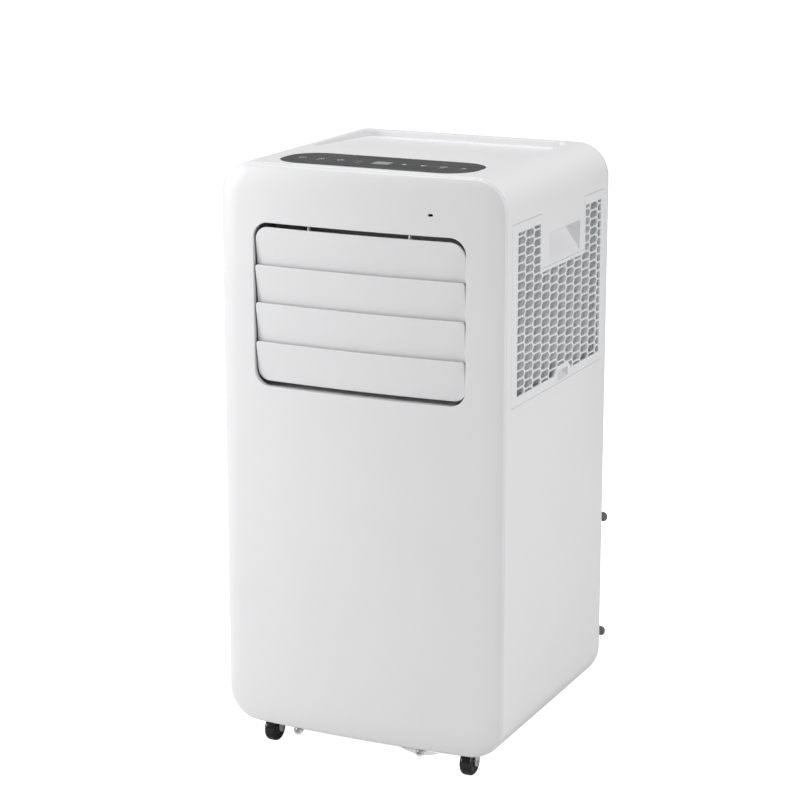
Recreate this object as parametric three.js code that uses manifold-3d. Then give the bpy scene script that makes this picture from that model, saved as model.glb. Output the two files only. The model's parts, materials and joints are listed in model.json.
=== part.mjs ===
// Portable air conditioner on castors. Millimetres, +Z up, -Y is the front, +X the user's right-hand side.
// The origin is on the floor, under the middle of the unit's bounding box.
import * as THREE from 'three';
import { mergeVertices } from 'three/addons/utils/BufferGeometryUtils.js';
import Module from 'manifold-3d';

const wasm = await Module();
wasm.setup();

// ---- driving dimensions ----
const width = 355;            // overall width of the casing
const height = 703;           // floor to the top of the casing
const frontY = -179.5;        // foremost point of the bowed front
const rearY = 165.5;          // flat of the back, without hooks and collar
const hookReach = 14;         // how far the rear fittings stand proud of the back
const bottomZ = 31;           // lower edge of the casing
const cornerRadius = 40;      // the casing's corners, seen from the front
const rearFillet = 27;        // rounding from the sides and top into the back
const wall = 2.5;             // moulded wall thickness
const seamGap = 0.35;         // joint between two mouldings
const frontBow = 10;          // how far the front curves back at its sides
const seamY = -164;           // joint between the front cover and the body wrap
const rearInset = 0.3;        // the rear cover and base tray lie this far inside the casing's back
const facets = 5;             // segments in a quarter turn of a large rounding
// How the front's edge rolls back to the seam: inset from the outline, drop behind the bowed face.
const frontRounding = [[27, 0], [18, 0.3], [11, 0.9], [6, 1.9], [3, 3.1], [1, 5.2]];
const receiver = { x: 90.6, z: 660, halfLength: 3, halfHeight: 1.5 };

const opening = { halfWidth: 132, low: 446, high: 636.3, radius: 19, flange: 1.6, flangeBack: -168.5 };
const slatTops = [631.3, 586.9, 543.1, 497.7];
const slatOverlap = 3;        // each slat hangs this far behind the next one's top edge
const slatLean = 6;           // the lower edge sits this far behind the upper edge
const slatThickness = 2.4;
const slatPivotY = -157;
const slatEnd = { earX: 128, pinX: 131.5, pinRadius: 2.4, earThick: 2.6 };
const linkPin = { x: -116, y: 16, z: -20 };   // crank pin, measured from a slat's pivot
const slatStops = { xs: [-60.5, 64.5], reach: 6, rise: 4 };   // two fins that the top slat rests on

const panel = { halfWidth: 121.7, front: -152.2, back: -68, radius: 36 };
const display = { x: 11, y: 10 };     // half the window's size
// The tray behind the panel; its floor falls from shallow at the front to deep at the back.
const tray = { halfWidth: 134, front: -27, back: 131, radius: 16, rim: 1.8, shallow: 1.2, deep: 8 };
const grille = { front: -150.5, back: 130, low: 443.5, high: 651 };
const holes = { front: -134.3, back: 119.8, low: 454.5, high: 640, edge: 4.5 };
const cell = { pitchY: 24.7, pitchZ: 20.22, firstY: -125.5, firstZ: 630.3, point: 14.6, flat: 7.4, half: 9 };
const handle = { front: -65, back: 65, low: 588 };
const pocket = { front: -43, back: 51, low: 591, high: 625.5, depth: 24 };
const notchTop = 464;         // top of the plain patch round the filter's finger notch
const notchY = 3.45;          // middle of the finger notch
const notchHalf = 16.5;       // half its width
const frameDepth = 9;         // how far the filter frame's rim reaches into the casing
const meshDepth = 7.6;        // how far the net lies behind the frame's face

const castor = {
  frontX: 127.8, frontY: -144, rearX: 116, rearY: 131, radius: 16, width: 15, trail: 5, sweep: 23.2,
  stem: 4, plate: 9.6, cheek: 1.9, clearance: 0.6, axle: 1.7, axleHead: 2.9,
};
const floorZ = 38;            // underside of the base tray, above the castors
const collar = { z: 375, outer: 65, bore: 58 };
const duct = { halfWidth: 134, wall: 2.2, back: -112 };
const intake = { low: 92, pitch: 17, slot: 8, rows: 12, halfWidth: 112 };
const lugs = { left: -82.5, right: 76, y: -172.5, z: 29, radius: 5.6, bumpHalf: 24, bumpDrop: 5 };
const drain = { x: -60, z: 72, radius: 9 };
const gland = { x: 100, z: 72, radius: 8, bore: 3.8 };
const cordHooks = { left: 134, right: 172, stemLeft: 138, stemRight: 146, lowerZ: 80, upperZ: 230 };
const fittingFlange = 3;      // how far a flange stands out round the drain spout and the gland
const blower = { y: 15, z: 535, scroll: 80, half: 60, motor: 30 };
const fan = { z: 198, scroll: 84, front: 44, back: 112, top: 300, motor: 26 };
const hotDuct = { halfWidth: 62.5, wall: 2.5 };
const waterTray = { z: 378, halfWidth: 168, front: -148, back: 156, height: 14, passage: 64 };
const evaporator = { near: 102, far: 130, front: -100, back: 118, top: 640 };
const condenser = { halfWidth: 115, thick: 32, low: 88 };
const compressor = { x: -78, y: -84, radius: 52 };
const accumulator = { x: 8, y: -96, radius: 20, low: 62, height: 124 };
const electrics = { left: 62, right: 152, front: -148, back: -72, low: 160, high: 330 };

// ---- solids ----
function asSolid(geometry) {
  const plain = geometry.index ? geometry : geometry.clone();
  plain.deleteAttribute('normal');
  plain.deleteAttribute('uv');
  const merged = mergeVertices(plain, 1e-4);
  return new wasm.Manifold(new wasm.Mesh({
    numProp: 3,
    vertProperties: new Float32Array(merged.attributes.position.array),
    triVerts: new Uint32Array(merged.index.array),
  }));
}

function join(first, ...others) {
  return others.reduce((sum, other) => sum.add(other), first);
}

function cut(first, ...others) {
  return others.reduce((rest, other) => rest.subtract(other), first);
}

function moved(solid, x, y, z) {
  return solid.translate([x, y, z]);
}

function mirroredX(solid) {
  return solid.mirror([1, 0, 0]);
}

// An axis-aligned block between two corners.
function block(x0, x1, y0, y1, z0, z1) {
  const geometry = new THREE.BoxGeometry(x1 - x0, y1 - y0, z1 - z0);
  geometry.translate((x0 + x1) / 2, (y0 + y1) / 2, (z0 + z1) / 2);
  return asSolid(geometry);
}

// Axes that an outline's first, second and third directions follow.
const alongX = new THREE.Matrix4().makeBasis(
  new THREE.Vector3(0, 1, 0), new THREE.Vector3(0, 0, 1), new THREE.Vector3(1, 0, 0));
const alongY = new THREE.Matrix4().makeBasis(
  new THREE.Vector3(1, 0, 0), new THREE.Vector3(0, 0, 1), new THREE.Vector3(0, -1, 0));
const alongZ = new THREE.Matrix4();

// An outline pushed from one place to another: [y, z] along X, [x, z] along Y or [x, y] along Z.
function prism(outline, axis, from, to) {
  const shape = new THREE.Shape(outline.map(([u, v]) => new THREE.Vector2(u, v)));
  const geometry = new THREE.ExtrudeGeometry(shape, { depth: to - from, bevelEnabled: false });
  geometry.applyMatrix4({ X: alongX, Y: alongY, Z: alongZ }[axis]);
  if (axis === 'X') geometry.translate(from, 0, 0);
  if (axis === 'Y') geometry.translate(0, to, 0);
  if (axis === 'Z') geometry.translate(0, 0, from);
  return asSolid(geometry);
}

// A round rod along an axis; centre is the pair of the other two coordinates, in X, Y, Z order.
function rod(axis, radius, from, to, [first, second], segments = 16) {
  const geometry = new THREE.CylinderGeometry(radius, radius, to - from, segments);
  const middle = (from + to) / 2;
  if (axis === 'X') {
    geometry.rotateZ(Math.PI / 2);
    geometry.translate(middle, first, second);
  } else if (axis === 'Y') {
    geometry.translate(first, middle, second);
  } else {
    geometry.rotateX(Math.PI / 2);
    geometry.translate(first, second, middle);
  }
  return asSolid(geometry);
}

// A closed profile of [radius, height] points turned about Z.
function turned(profile, segments) {
  const points = profile.map(([r, h]) => new THREE.Vector2(r, h));
  const geometry = new THREE.LatheGeometry(points, segments);
  geometry.rotateX(Math.PI / 2);
  return closedSurface(geometry);
}

// A closed surface whose faces may all point inwards: turned the right way before use.
function closedSurface(geometry) {
  const plain = geometry.clone();
  plain.deleteAttribute('normal');
  plain.deleteAttribute('uv');
  const merged = mergeVertices(plain, 1e-4);
  const position = merged.attributes.position.array;
  const index = Array.from(merged.index.array);
  const kept = [];
  for (let i = 0; i < index.length; i += 3) {
    const [a, b, c] = index.slice(i, i + 3);
    if (a !== b && b !== c && c !== a) kept.push(a, b, c);
  }
  let volume = 0;
  const corner = (n) => new THREE.Vector3(position[3 * n], position[3 * n + 1], position[3 * n + 2]);
  for (let i = 0; i < kept.length; i += 3) {
    volume += corner(kept[i]).dot(corner(kept[i + 1]).cross(corner(kept[i + 2])));
  }
  if (volume < 0) {
    for (let i = 0; i < kept.length; i += 3) [kept[i], kept[i + 1]] = [kept[i + 1], kept[i]];
  }
  return new wasm.Manifold(new wasm.Mesh({
    numProp: 3,
    vertProperties: new Float32Array(position),
    triVerts: new Uint32Array(kept),
  }));
}

// Points of an arc, degrees, centre first.
function arc(cx, cy, radius, from, to, steps) {
  return Array.from({ length: steps + 1 }, (_, i) => {
    const angle = THREE.MathUtils.degToRad(from + (to - from) * i / steps);
    return [cx + radius * Math.cos(angle), cy + radius * Math.sin(angle)];
  });
}

// A rectangle with rounded corners, anticlockwise.
// Radii are one number, or top right, top left, bottom left and bottom right.
function rounded(u0, u1, v0, v1, radii, steps = facets) {
  const [tr, tl, bl, br] = Array.isArray(radii) ? radii : [radii, radii, radii, radii];
  return [
    ...arc(u1 - tr, v1 - tr, tr, 0, 90, steps),
    ...arc(u0 + tl, v1 - tl, tl, 90, 180, steps),
    ...arc(u0 + bl, v0 + bl, bl, 180, 270, steps),
    ...arc(u1 - br, v0 + br, br, 270, 360, steps),
  ];
}

// Triangles that fill a flat outline, turned the way the outline runs.
function fill(outline) {
  const shape = outline.map(([u, v]) => new THREE.Vector2(u, v));
  const area = THREE.ShapeUtils.area(shape);
  return THREE.ShapeUtils.triangulateShape(shape, []).map((triangle) => {
    const sameWay = THREE.ShapeUtils.area(triangle.map((n) => shape[n])) * area > 0;
    return sameWay ? triangle : [...triangle].reverse();
  });
}

function surfaceOf(points, triangles) {
  const geometry = new THREE.BufferGeometry();
  geometry.setAttribute('position', new THREE.Float32BufferAttribute(points.flat(), 3));
  geometry.setIndex(triangles);
  return closedSurface(geometry);
}

// Quads between loops of equal count, as triangles; each loop closes on itself.
function sideTriangles(loops, count) {
  const triangles = [];
  for (let j = 0; j + 1 < loops; j++) {
    for (let i = 0; i < count; i++) {
      const a = j * count + i;
      const b = j * count + (i + 1) % count;
      triangles.push(a, b, b + count, a, b + count, a + count);
    }
  }
  return triangles;
}

// A tube of constant radius along a smooth route.
function pipe(radius, route, steps) {
  const curve = new THREE.CatmullRomCurve3(route.map((p) => new THREE.Vector3(...p)), false, 'centripetal');
  const shape = new THREE.Shape(arc(0, 0, radius, 0, 300, 5).map(([u, v]) => new THREE.Vector2(u, v)));
  return asSolid(new THREE.ExtrudeGeometry(shape, { steps, extrudePath: curve, bevelEnabled: false }));
}

// ---- casing ----
const bow = (x) => frontBow * (2 * x / width) ** 2;
const bowSteps = 8;
const bowStations = (half) => Array.from({ length: bowSteps + 1 }, (_, n) => half * (2 * n / bowSteps - 1));
const castorPlaces = [
  ['front_left', -castor.frontX, castor.frontY],
  ['front_right', castor.frontX, castor.frontY],
  ['rear_left', -castor.rearX, castor.rearY],
  ['rear_right', castor.rearX, castor.rearY],
];

// One turn round the casing's outline at an inset: the upper half from left to right, then the lower
// half back.
function casingRing(inset) {
  const radius = cornerRadius - inset;
  const side = width / 2 - cornerRadius;
  const upper = [];
  for (const [dx, dz] of arc(0, 0, radius, 180, 90, facets)) upper.push([-side + dx, dz]);
  for (let i = 1; i < bowSteps; i++) upper.push([-side + 2 * side * i / bowSteps, radius]);
  for (const [dx, dz] of arc(0, 0, radius, 90, 0, facets)) upper.push([side + dx, dz]);
  const top = height - cornerRadius;
  const bottom = bottomZ + cornerRadius;
  return [
    ...upper.map(([x, dz]) => [x, top + dz]),
    ...upper.map(([x, dz]) => [x, bottom - dz]).reverse(),
  ];
}

// Rings joined in order; each end is closed by strips between the ring's upper and lower halves.
function shellOfRings(rings) {
  const count = rings[0].length;
  const triangles = sideTriangles(rings.length, count);
  const last = (rings.length - 1) * count;
  for (let i = 0; i + 1 < count / 2; i++) {
    const [a, b, c, d] = [i + 1, i, count - 1 - i, count - 2 - i];
    triangles.push(a, b, c, a, c, d);
    triangles.push(last + c, last + b, last + a, last + d, last + c, last + a);
  }
  return surfaceOf(rings.flat(), triangles);
}

// The front cover: a bowed face whose edges roll back to the seam, open behind.
function frontCover() {
  const rolled = (inset, drop) => casingRing(inset).map(([x, z]) => [x, frontY + bow(x) + drop, z]);
  const atSeam = (inset) => casingRing(inset).map(([x, z]) => [x, seamY, z]);
  const outer = frontRounding.map(([inset, drop]) => rolled(inset, drop));
  const inner = frontRounding.slice(0, -1).map(([inset, drop]) => rolled(inset + wall, drop + wall));
  const edge = frontRounding.at(-1)[0];
  const shell = shellOfRings([...outer, atSeam(edge), atSeam(edge + wall), ...inner.reverse()]);
  const mouthOutline = (grown) => rounded(-opening.halfWidth - grown, opening.halfWidth + grown,
    opening.low - grown, opening.high + grown, opening.radius + grown);
  const mouth = prism(mouthOutline(0), 'Y', frontY - 5, seamY + 5);
  const behindFace = prism([
    ...bowStations(opening.halfWidth + 5).map((x) => [x, frontY + bow(x) + 1]),
    [opening.halfWidth + 5, seamY], [-opening.halfWidth - 5, seamY],
  ], 'Z', opening.low - 10, opening.high + 10);
  const flange = prism(mouthOutline(opening.flange), 'Y', frontY, opening.flangeBack).intersect(behindFace);
  return cut(join(shell, flange), mouth, prism(receiverOutline(0), 'Y', frontY - 5, seamY + 5));
}

function receiverOutline(inset) {
  const { x, z, halfLength, halfHeight } = receiver;
  const [across, up] = [halfLength - inset, halfHeight - inset];
  return rounded(x - across, x + across, z - up, z + up, up - 0.1, 3);
}

function receiverWindow() {
  const face = frontY + bow(receiver.x);
  const lens = prism(receiverOutline(0.3), 'Y', face + 0.6, face + wall + 2);
  const flange = block(receiver.x - 7, receiver.x + 7, face + wall + 1.2, face + wall + 4,
    receiver.z - 5, receiver.z + 5);
  return join(lens, flange);
}

// The wedge of a handle pocket, deepest under its upper lip; margin adds the cup's wall round it.
function pocketWedge(margin) {
  const face = width / 2;
  const slope = pocket.depth / (pocket.high - pocket.low);
  const reach = margin ? -0.4 : 1;
  const drop = margin ? margin * 1.8 : reach / slope;
  return prism([
    [face + reach, pocket.low - drop],
    [face + reach, pocket.high + margin],
    [face - pocket.depth - margin * 1.2, pocket.high + margin],
  ], 'Y', pocket.front - margin, pocket.back + margin);
}

// The filter frame's outline seen from the side: a rectangle that leaves out the handle.
function filterOutline(gap) {
  return [
    [grille.front + gap, grille.low + gap], [grille.back - gap, grille.low + gap],
    [grille.back - gap, grille.high - gap], [handle.back + gap, grille.high - gap],
    [handle.back + gap, handle.low - gap], [handle.front - gap, handle.low - gap],
    [handle.front - gap, grille.high - gap], [grille.front + gap, grille.high - gap],
  ];
}

function castorSweeps() {
  return castorPlaces.map(([, x, y]) => rod('Z', castor.sweep, bottomZ - 10, floorZ,
    [x, y + castor.trail], 16));
}

// Both sides and the top in one moulding: a wall section swept up one side, over the top and down
// the other.
function bodyWrap() {
  const straight = rearY - rearFillet;
  const section = [
    [2, seamY + seamGap], [0.6, seamY + 1], [0, seamY + 2.6],
    ...arc(rearFillet, straight, rearFillet, 180, 90, 4),
    ...arc(rearFillet, straight, rearFillet - wall, 90, 180, 4),
    [wall, seamY + seamGap],
  ];
  // Each section point's own run: lower left corner, then the upper half, then the lower right corner.
  const runs = section.map(([inset, y]) => {
    const ring = casingRing(inset);
    const half = ring.length / 2;
    const lower = ring.slice(half).reverse();
    const [left, right] = [lower.slice(0, facets + 1).reverse(), lower.slice(-facets - 1).reverse()];
    const run = [...left, ...ring.slice(0, half), ...right];
    return run.map(([x, z]) => [x, y, z]);
  });
  const loops = runs[0].map((_, i) => runs.map((run) => run[i]));
  const count = section.length;
  const last = (loops.length - 1) * count;
  const triangles = sideTriangles(loops.length, count);
  for (const [a, b, c] of fill(section)) {
    triangles.push(c, b, a, last + a, last + b, last + c);
  }
  const cup = pocketWedge(wall);
  const scoop = pocketWedge(0);
  const window = prism(filterOutline(0), 'X', width / 2 - 8, width / 2 + 5);
  const panelHole = prism(rounded(-panel.halfWidth - seamGap, panel.halfWidth + seamGap,
    panel.front - seamGap, panel.back + seamGap, panel.radius + seamGap, 8), 'Z', height - 10, height + 5);
  const trayHole = prism(rounded(-tray.halfWidth - seamGap, tray.halfWidth + seamGap,
    tray.front - seamGap, tray.back + seamGap, tray.radius + seamGap), 'Z', height - 12, height + 5);
  const wrap = join(surfaceOf(loops.flat(), triangles), cup, mirroredX(cup));
  return cut(wrap, scoop, mirroredX(scoop), window, mirroredX(window), panelHole, trayHole,
    ...castorSweeps());
}

// A shallow pan behind the control panel; its floor falls towards the back.
function topTray() {
  const { front, back, shallow, deep } = tray;
  const outline = (inset) => rounded(-tray.halfWidth + inset, tray.halfWidth - inset,
    front + inset, back - inset, tray.radius - inset);
  const outside = prism(outline(0), 'Z', height - deep - 3, height - 0.2);
  const inside = prism(outline(tray.rim), 'Z', height - deep - 7, height + 5);
  const space = prism([[front - 1, height - shallow], [back + 1, height - deep],
    [back + 1, height + 2], [front - 1, height + 2]], 'X', -width / 2, width / 2);
  const under = prism([[front - 1, height - deep - 4], [back + 1, height - deep - 4],
    [back + 1, height - deep - wall], [front - 1, height - shallow - wall]], 'X', -width / 2, width / 2);
  return cut(outside, inside.intersect(space), inside.intersect(under));
}

// The flat back, with the intake louvres low down and the hot-air outlet above them.
function rearCover() {
  const plate = prism(casingRing(rearFillet + seamGap), 'Y', rearY - rearInset - wall, rearY - rearInset);
  const slots = [];
  for (let i = 0; i < intake.rows; i++) {
    const z = intake.low + i * intake.pitch;
    for (const side of [-1, 1]) {
      const [x0, x1] = [side * 4, side * intake.halfWidth].sort((a, b) => a - b);
      slots.push(block(x0, x1, rearY - 5, rearY + 5, z, z + intake.slot));
    }
  }
  return cut(plate, ...slots,
    rod('Y', collar.outer + 0.5, rearY - 10, rearY + 5, [0, collar.z], 24),
    rod('Y', gland.radius + 0.4, rearY - 10, rearY + 5, [gland.x, gland.z], 16),
    rod('Y', drain.radius + 0.4, rearY - 10, rearY + 5, [drain.x, drain.z], 16));
}

// The chassis: a floor above the castors with a skirt down to the casing's lower edge and two lugs in
// front.
function baseTray() {
  const side = width / 2 - cornerRadius - 0.4;
  const [front, back] = [seamY + 0.5, rearY - rearInset];
  const floor = block(-side, side, front, back, floorZ, floorZ + 3);
  const skirt = cut(block(-side, side, front, back, bottomZ + 0.2, floorZ + 1),
    block(-side + wall, side - wall, front + wall, back - wall, bottomZ - 5, floorZ + 0.5));
  const rearWall = block(-side, side, back - wall, back, floorZ, bottomZ + rearFillet - 0.1);
  const lug = (x, outline) => join(
    prism(outline.map(([u, v]) => [u + x, v]), 'Y', lugs.y, lugs.y + 2.5),
    block(x - lugs.radius, x + lugs.radius, lugs.y, front + wall, bottomZ - 2.8, bottomZ - 0.4),
    block(x - lugs.radius, x + lugs.radius, front, front + wall, bottomZ - 2.8, floorZ));
  const disc = arc(0, lugs.z, lugs.radius, 180, 360, 8);
  const tab = [...disc, [lugs.radius, bottomZ - 0.4], [-lugs.radius, bottomZ - 0.4]];
  const bumpRadius = (lugs.bumpHalf ** 2 + lugs.bumpDrop ** 2) / (2 * lugs.bumpDrop);
  const half = THREE.MathUtils.radToDeg(Math.asin(lugs.bumpHalf / bumpRadius));
  const bump = arc(0, bottomZ - 0.4 - lugs.bumpDrop + bumpRadius, bumpRadius, 270 - half, 270 + half, 10);
  const stems = castorPlaces.map(([, x, y]) => rod('Z', castor.stem + 0.6, floorZ - 5, floorZ + 8,
    [x, y + castor.trail], 10));
  const screwHoles = [lugs.left, lugs.right].map((x) => rod('Y', 2, lugs.y - 5, lugs.y + 5,
    [x, lugs.z], 12));
  const tray = join(floor, skirt, rearWall, lug(lugs.left, tab), lug(lugs.right, tab),
    prism(bump.map(([u, v]) => [u + lugs.right, v]), 'Y', lugs.y + 0.6, lugs.y + 2.5));
  return cut(tray, ...castorSweeps(), ...stems, ...screwHoles);
}

function lugScrew(x) {
  return join(rod('Y', 3, lugs.y - 1.9, lugs.y - 0.3, [x, lugs.z], 14),
    rod('Y', 1.6, lugs.y - 0.5, lugs.y + 4, [x, lugs.z], 10));
}

// ---- controls ----
function controlPanel() {
  const plate = prism(rounded(-panel.halfWidth, panel.halfWidth, panel.front, panel.back, panel.radius, 8),
    'Z', height - 2.4, height - 0.2);
  const middle = (panel.front + panel.back) / 2;
  return cut(plate, prism(rounded(-display.x, display.x, middle - display.y, middle + display.y, 1.5, 2),
    'Z', height - 5, height + 5));
}

function displayWindow() {
  const middle = (panel.front + panel.back) / 2;
  const [x, y] = [display.x - seamGap, display.y - seamGap];
  return prism(rounded(-x, x, middle - y, middle + y, 1.2, 2), 'Z', height - 2.2, height - 0.3);
}

function controlBoard() {
  return prism(rounded(-panel.halfWidth + 6, panel.halfWidth - 6, panel.front + 6, panel.back - 6, 20, 4),
    'Z', height - 6.5, height - 4.9);
}

// ---- louvres ----
const slatBottoms = slatTops.map((_, i) => (i < 3 ? slatTops[i + 1] - slatOverlap : opening.low + 5));
const slatPivotZ = slatTops.map((top, i) => (top + slatBottoms[i]) / 2);
const slatHalf = opening.halfWidth - 1.5;

// A bowed blade that leans back towards its lower edge, with end lugs and pins, and a crank on the left.
function slat(i) {
  const [top, bottom, pivotZ] = [slatTops[i], slatBottoms[i], slatPivotZ[i]];
  const front = bowStations(slatHalf).map((x) => [x, frontY + bow(x) + 0.5]);
  const back = front.map(([x, y]) => [x, y + slatThickness]).reverse();
  const [upper, lower] = [i === 0 ? opening.radius - 1.5 : 4, i === 3 ? opening.radius - 5 : 4];
  const face = prism(rounded(-slatHalf, slatHalf, bottom, top, [upper, upper, lower, lower], 4),
    'Y', frontY - 5, frontY + 25);
  const lean = (z) => slatLean * (top - z) / (top - bottom);
  const blade = prism([...front, ...back], 'Z', bottom, top).intersect(face).warp((point) => {
    point[1] += lean(point[2]);
  });
  const backY = (x, z) => frontY + bow(x) + 0.5 + slatThickness / 2 + lean(z);
  const earAt = (x) => [
    [backY(x, pivotZ + 10), pivotZ + 10], [slatPivotY + 3, pivotZ + 2.4],
    [slatPivotY + 3, pivotZ - 2.4], [backY(x, pivotZ - 10), pivotZ - 10],
  ].reverse();
  const { earX, pinX, pinRadius, earThick } = slatEnd;
  const ears = [-earX, earX].map((x) => prism(earAt(x), 'X', x - earThick / 2, x + earThick / 2));
  const pins = [-pinX, pinX].map((x) => rod('X', pinRadius, x - 4.5, x + 4.5, [slatPivotY, pivotZ], 8));
  const [pinY, pinZ] = [slatPivotY + linkPin.y, pivotZ + linkPin.z];
  const crank = prism([
    [backY(linkPin.x, pivotZ + 4), pivotZ + 4], [backY(linkPin.x, pivotZ - 16), pivotZ - 16],
    [pinY - 1, pinZ - 3], [pinY + 3, pinZ], [pinY + 1, pinZ + 3],
  ], 'X', linkPin.x - 2.4, linkPin.x);
  const parts = [...ears, ...pins, crank, rod('X', 1.8, linkPin.x - 1, linkPin.x + 5, [pinY, pinZ], 8)];
  if (i === 0) {
    const { reach, rise } = slatStops;
    for (const x of slatStops.xs) {
      const y = backY(x, top);
      parts.push(block(x - 0.7, x + 0.7, y, y + reach, top - 2 * rise, top + rise));
    }
  }
  return join(blade, ...parts);
}

// The flat strip that the four cranks turn together.
function linkBar() {
  const y = slatPivotY + linkPin.y;
  const pins = slatPivotZ.map((z) => z + linkPin.z);
  const strip = block(linkPin.x + 1.2, linkPin.x + 3.4, y - 3.4, y + 3.4, pins[3] - 3.4, pins[0] + 4);
  return cut(strip, ...pins.map((z) => rod('X', 2.3, linkPin.x - 5, linkPin.x + 10, [y, z], 8)));
}

// The mouth of the air duct, behind the front cover: it holds the slats' pins.
function louverFrame() {
  const [w, t] = [duct.halfWidth, duct.wall];
  const [low, high] = [opening.low - 2, opening.high + 2];
  const outside = block(-w - t, w + t, frontY, duct.back, low - t, high + t);
  const inside = block(-w, w, frontY - 5, duct.back - t, low, high);
  const outlet = block(-60, 60, duct.back - 10, duct.back + 10, blower.z - 60, blower.z + 78);
  const behindCover = prism([
    ...bowStations(w + 5).map((x) => [x, frontY + bow(x) + wall + 0.6]),
    [w + 5, duct.back + 5], [-w - 5, duct.back + 5],
  ], 'Z', low - 10, high + 10);
  const bearings = slatPivotZ.map((z) => rod('X', 2.9, -w - 10, w + 10, [slatPivotY, z], 10));
  return cut(outside.intersect(behindCover), inside, outlet, ...bearings);
}

function louverMotor() {
  const x = -duct.halfWidth - duct.wall - 0.4;
  return join(rod('X', 12, x - 15, x, [slatPivotY + 5, slatPivotZ[1]], 20),
    block(x - 1.2, x, slatPivotY - 1, slatPivotY + 11, slatPivotZ[1] - 17, slatPivotZ[1] + 17));
}

// ---- filters ----

// Elongated six-sided cells in staggered columns, cut off square at the field's edges.
function hexCells() {
  const field = prism(filterHoleOutline(), 'X', width / 2 - 20, width / 2 + 20);
  const { point, flat, half } = cell;
  const cells = [];
  for (let column = 0; column < 11; column++) {
    const y = cell.firstY + column * cell.pitchY;
    const firstZ = cell.firstZ + (column % 2 ? 0 : cell.pitchZ / 2);
    for (let row = 0; row < 10; row++) {
      const z = firstZ - row * cell.pitchZ;
      if (Math.abs(y - notchY) < 17 + (notchTop - z) && z < notchTop + half) continue;
      if (z > handle.low - half && y > handle.front && y < handle.back) continue;
      cells.push(prism([[y + point, z], [y + flat, z + half], [y - flat, z + half],
        [y - point, z], [y - flat, z - half], [y + flat, z - half]], 'X', width / 2 - 4, width / 2 + 4));
    }
  }
  return wasm.Manifold.union(cells).intersect(field);
}

function filterHoleOutline() {
  const { front, back, low, high, edge } = holes;
  return [
    [front, low], [back, low], [back, high], [handle.back + edge, high],
    [handle.back + edge, handle.low - edge], [handle.front - edge, handle.low - edge],
    [handle.front - edge, high], [front, high],
  ];
}

function filterFrame() {
  const face = width / 2;
  const plate = prism(filterOutline(seamGap), 'X', face - 2.4, face);
  const rim = cut(prism(filterOutline(2), 'X', face - frameDepth, face - 2),
    prism(filterOutline(3.8), 'X', face - frameDepth - 5, face + 5));
  const cup = block(face - frameDepth - 1.5, face - 2, notchY - notchHalf - wall, notchY + notchHalf + wall,
    grille.low + 2, notchTop - 1);
  const deepest = face - frameDepth + 0.4;
  const scoop = prism([[deepest, grille.low + 10], [face + 1, grille.low + 2.4],
    [face + 1, grille.low + 14.2], [deepest, grille.low + 14.2]],
  'Y', notchY - notchHalf, notchY + notchHalf);
  return cut(join(cut(plate, hexCells()), rim, cup), scoop);
}

function filterMesh() {
  const face = width / 2;
  const sheet = prism(filterOutline(4.2), 'X', face - meshDepth - 1, face - meshDepth);
  const besideCup = notchHalf + wall + 0.5;
  return cut(sheet, block(face - 12, face, notchY - besideCup, notchY + besideCup,
    grille.low, notchTop - 0.5));
}

// ---- air path ----
function blowerScroll() {
  const half = blower.half + wall;
  const shape = (grow, x) => join(rod('X', blower.scroll + grow, -x, x, [blower.y, blower.z], 20),
    block(-x, x, duct.back + 0.3 - (grow ? 0 : 5), blower.y, blower.z - 60 - grow, blower.z + 78 + grow));
  return cut(shape(wall, half), shape(0, blower.half),
    rod('X', 56, -half - 5, half + 5, [blower.y, blower.z], 16));
}

// A drum of blades between two rings, on a centre disc and a shaft.
function bladedDrum(radius, half, blades) {
  const parts = [rod('X', radius - 1, -1, 1, [0, 0], 14), rod('X', 9, -8, 8, [0, 0], 8),
    rod('X', 4, -half + 6, half + 5, [0, 0], 8)];
  for (const x of [-half, half - 3]) {
    parts.push(cut(rod('X', radius, x, x + 3, [0, 0], 14),
      rod('X', radius - 7, x - 5, x + 8, [0, 0], 14)));
  }
  for (let i = 0; i < blades; i++) {
    const blade = block(-half + 1, half - 1, radius - 6.5, radius - 1, -0.8, 0.8);
    parts.push(blade.rotate([360 * i / blades, 0, 0]));
  }
  return join(...parts);
}

function fanHousing() {
  const shape = (grow, y0, y1) => join(rod('Y', fan.scroll + grow, y0, y1, [0, fan.z], 20),
    block(-60 - grow, 60 + grow, y0, y1, fan.z, fan.top + (grow ? 0 : 5)));
  return cut(shape(wall, fan.front, fan.back), shape(0, fan.front + wall, fan.back - wall),
    rod('Y', 66, fan.back - 10, fan.back + 5, [0, fan.z], 16),
    rod('Y', 8, fan.front - 5, fan.front + 10, [0, fan.z], 12));
}

function hotAirDuct() {
  const { halfWidth: x, wall: t } = hotDuct;
  const [y0, y1] = [fan.front, rearY - 5];
  const [z0, z1] = [fan.top + 0.4, collar.z + collar.outer + 1];
  return cut(block(-x, x, y0, y1, z0, z1),
    block(-x + t, x - t, y0 + t, y1 - t, z0 + t, z1 - t),
    block(-x + t, x - t, y0 + t, fan.back - t, z0 - 5, z0 + 10),
    rod('Y', collar.bore, y1 - 10, y1 + 5, [0, collar.z], 24));
}

function exhaustCollar() {
  const [inner, outer] = [rearY - 4.5, rearY + hookReach - 2];
  return cut(join(rod('Y', collar.outer, inner, outer, [0, collar.z], 24),
    rod('Y', collar.outer + 6, rearY, rearY + 2.2, [0, collar.z], 24)),
  rod('Y', collar.bore, inner - 5, outer + 5, [0, collar.z], 24));
}

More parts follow.
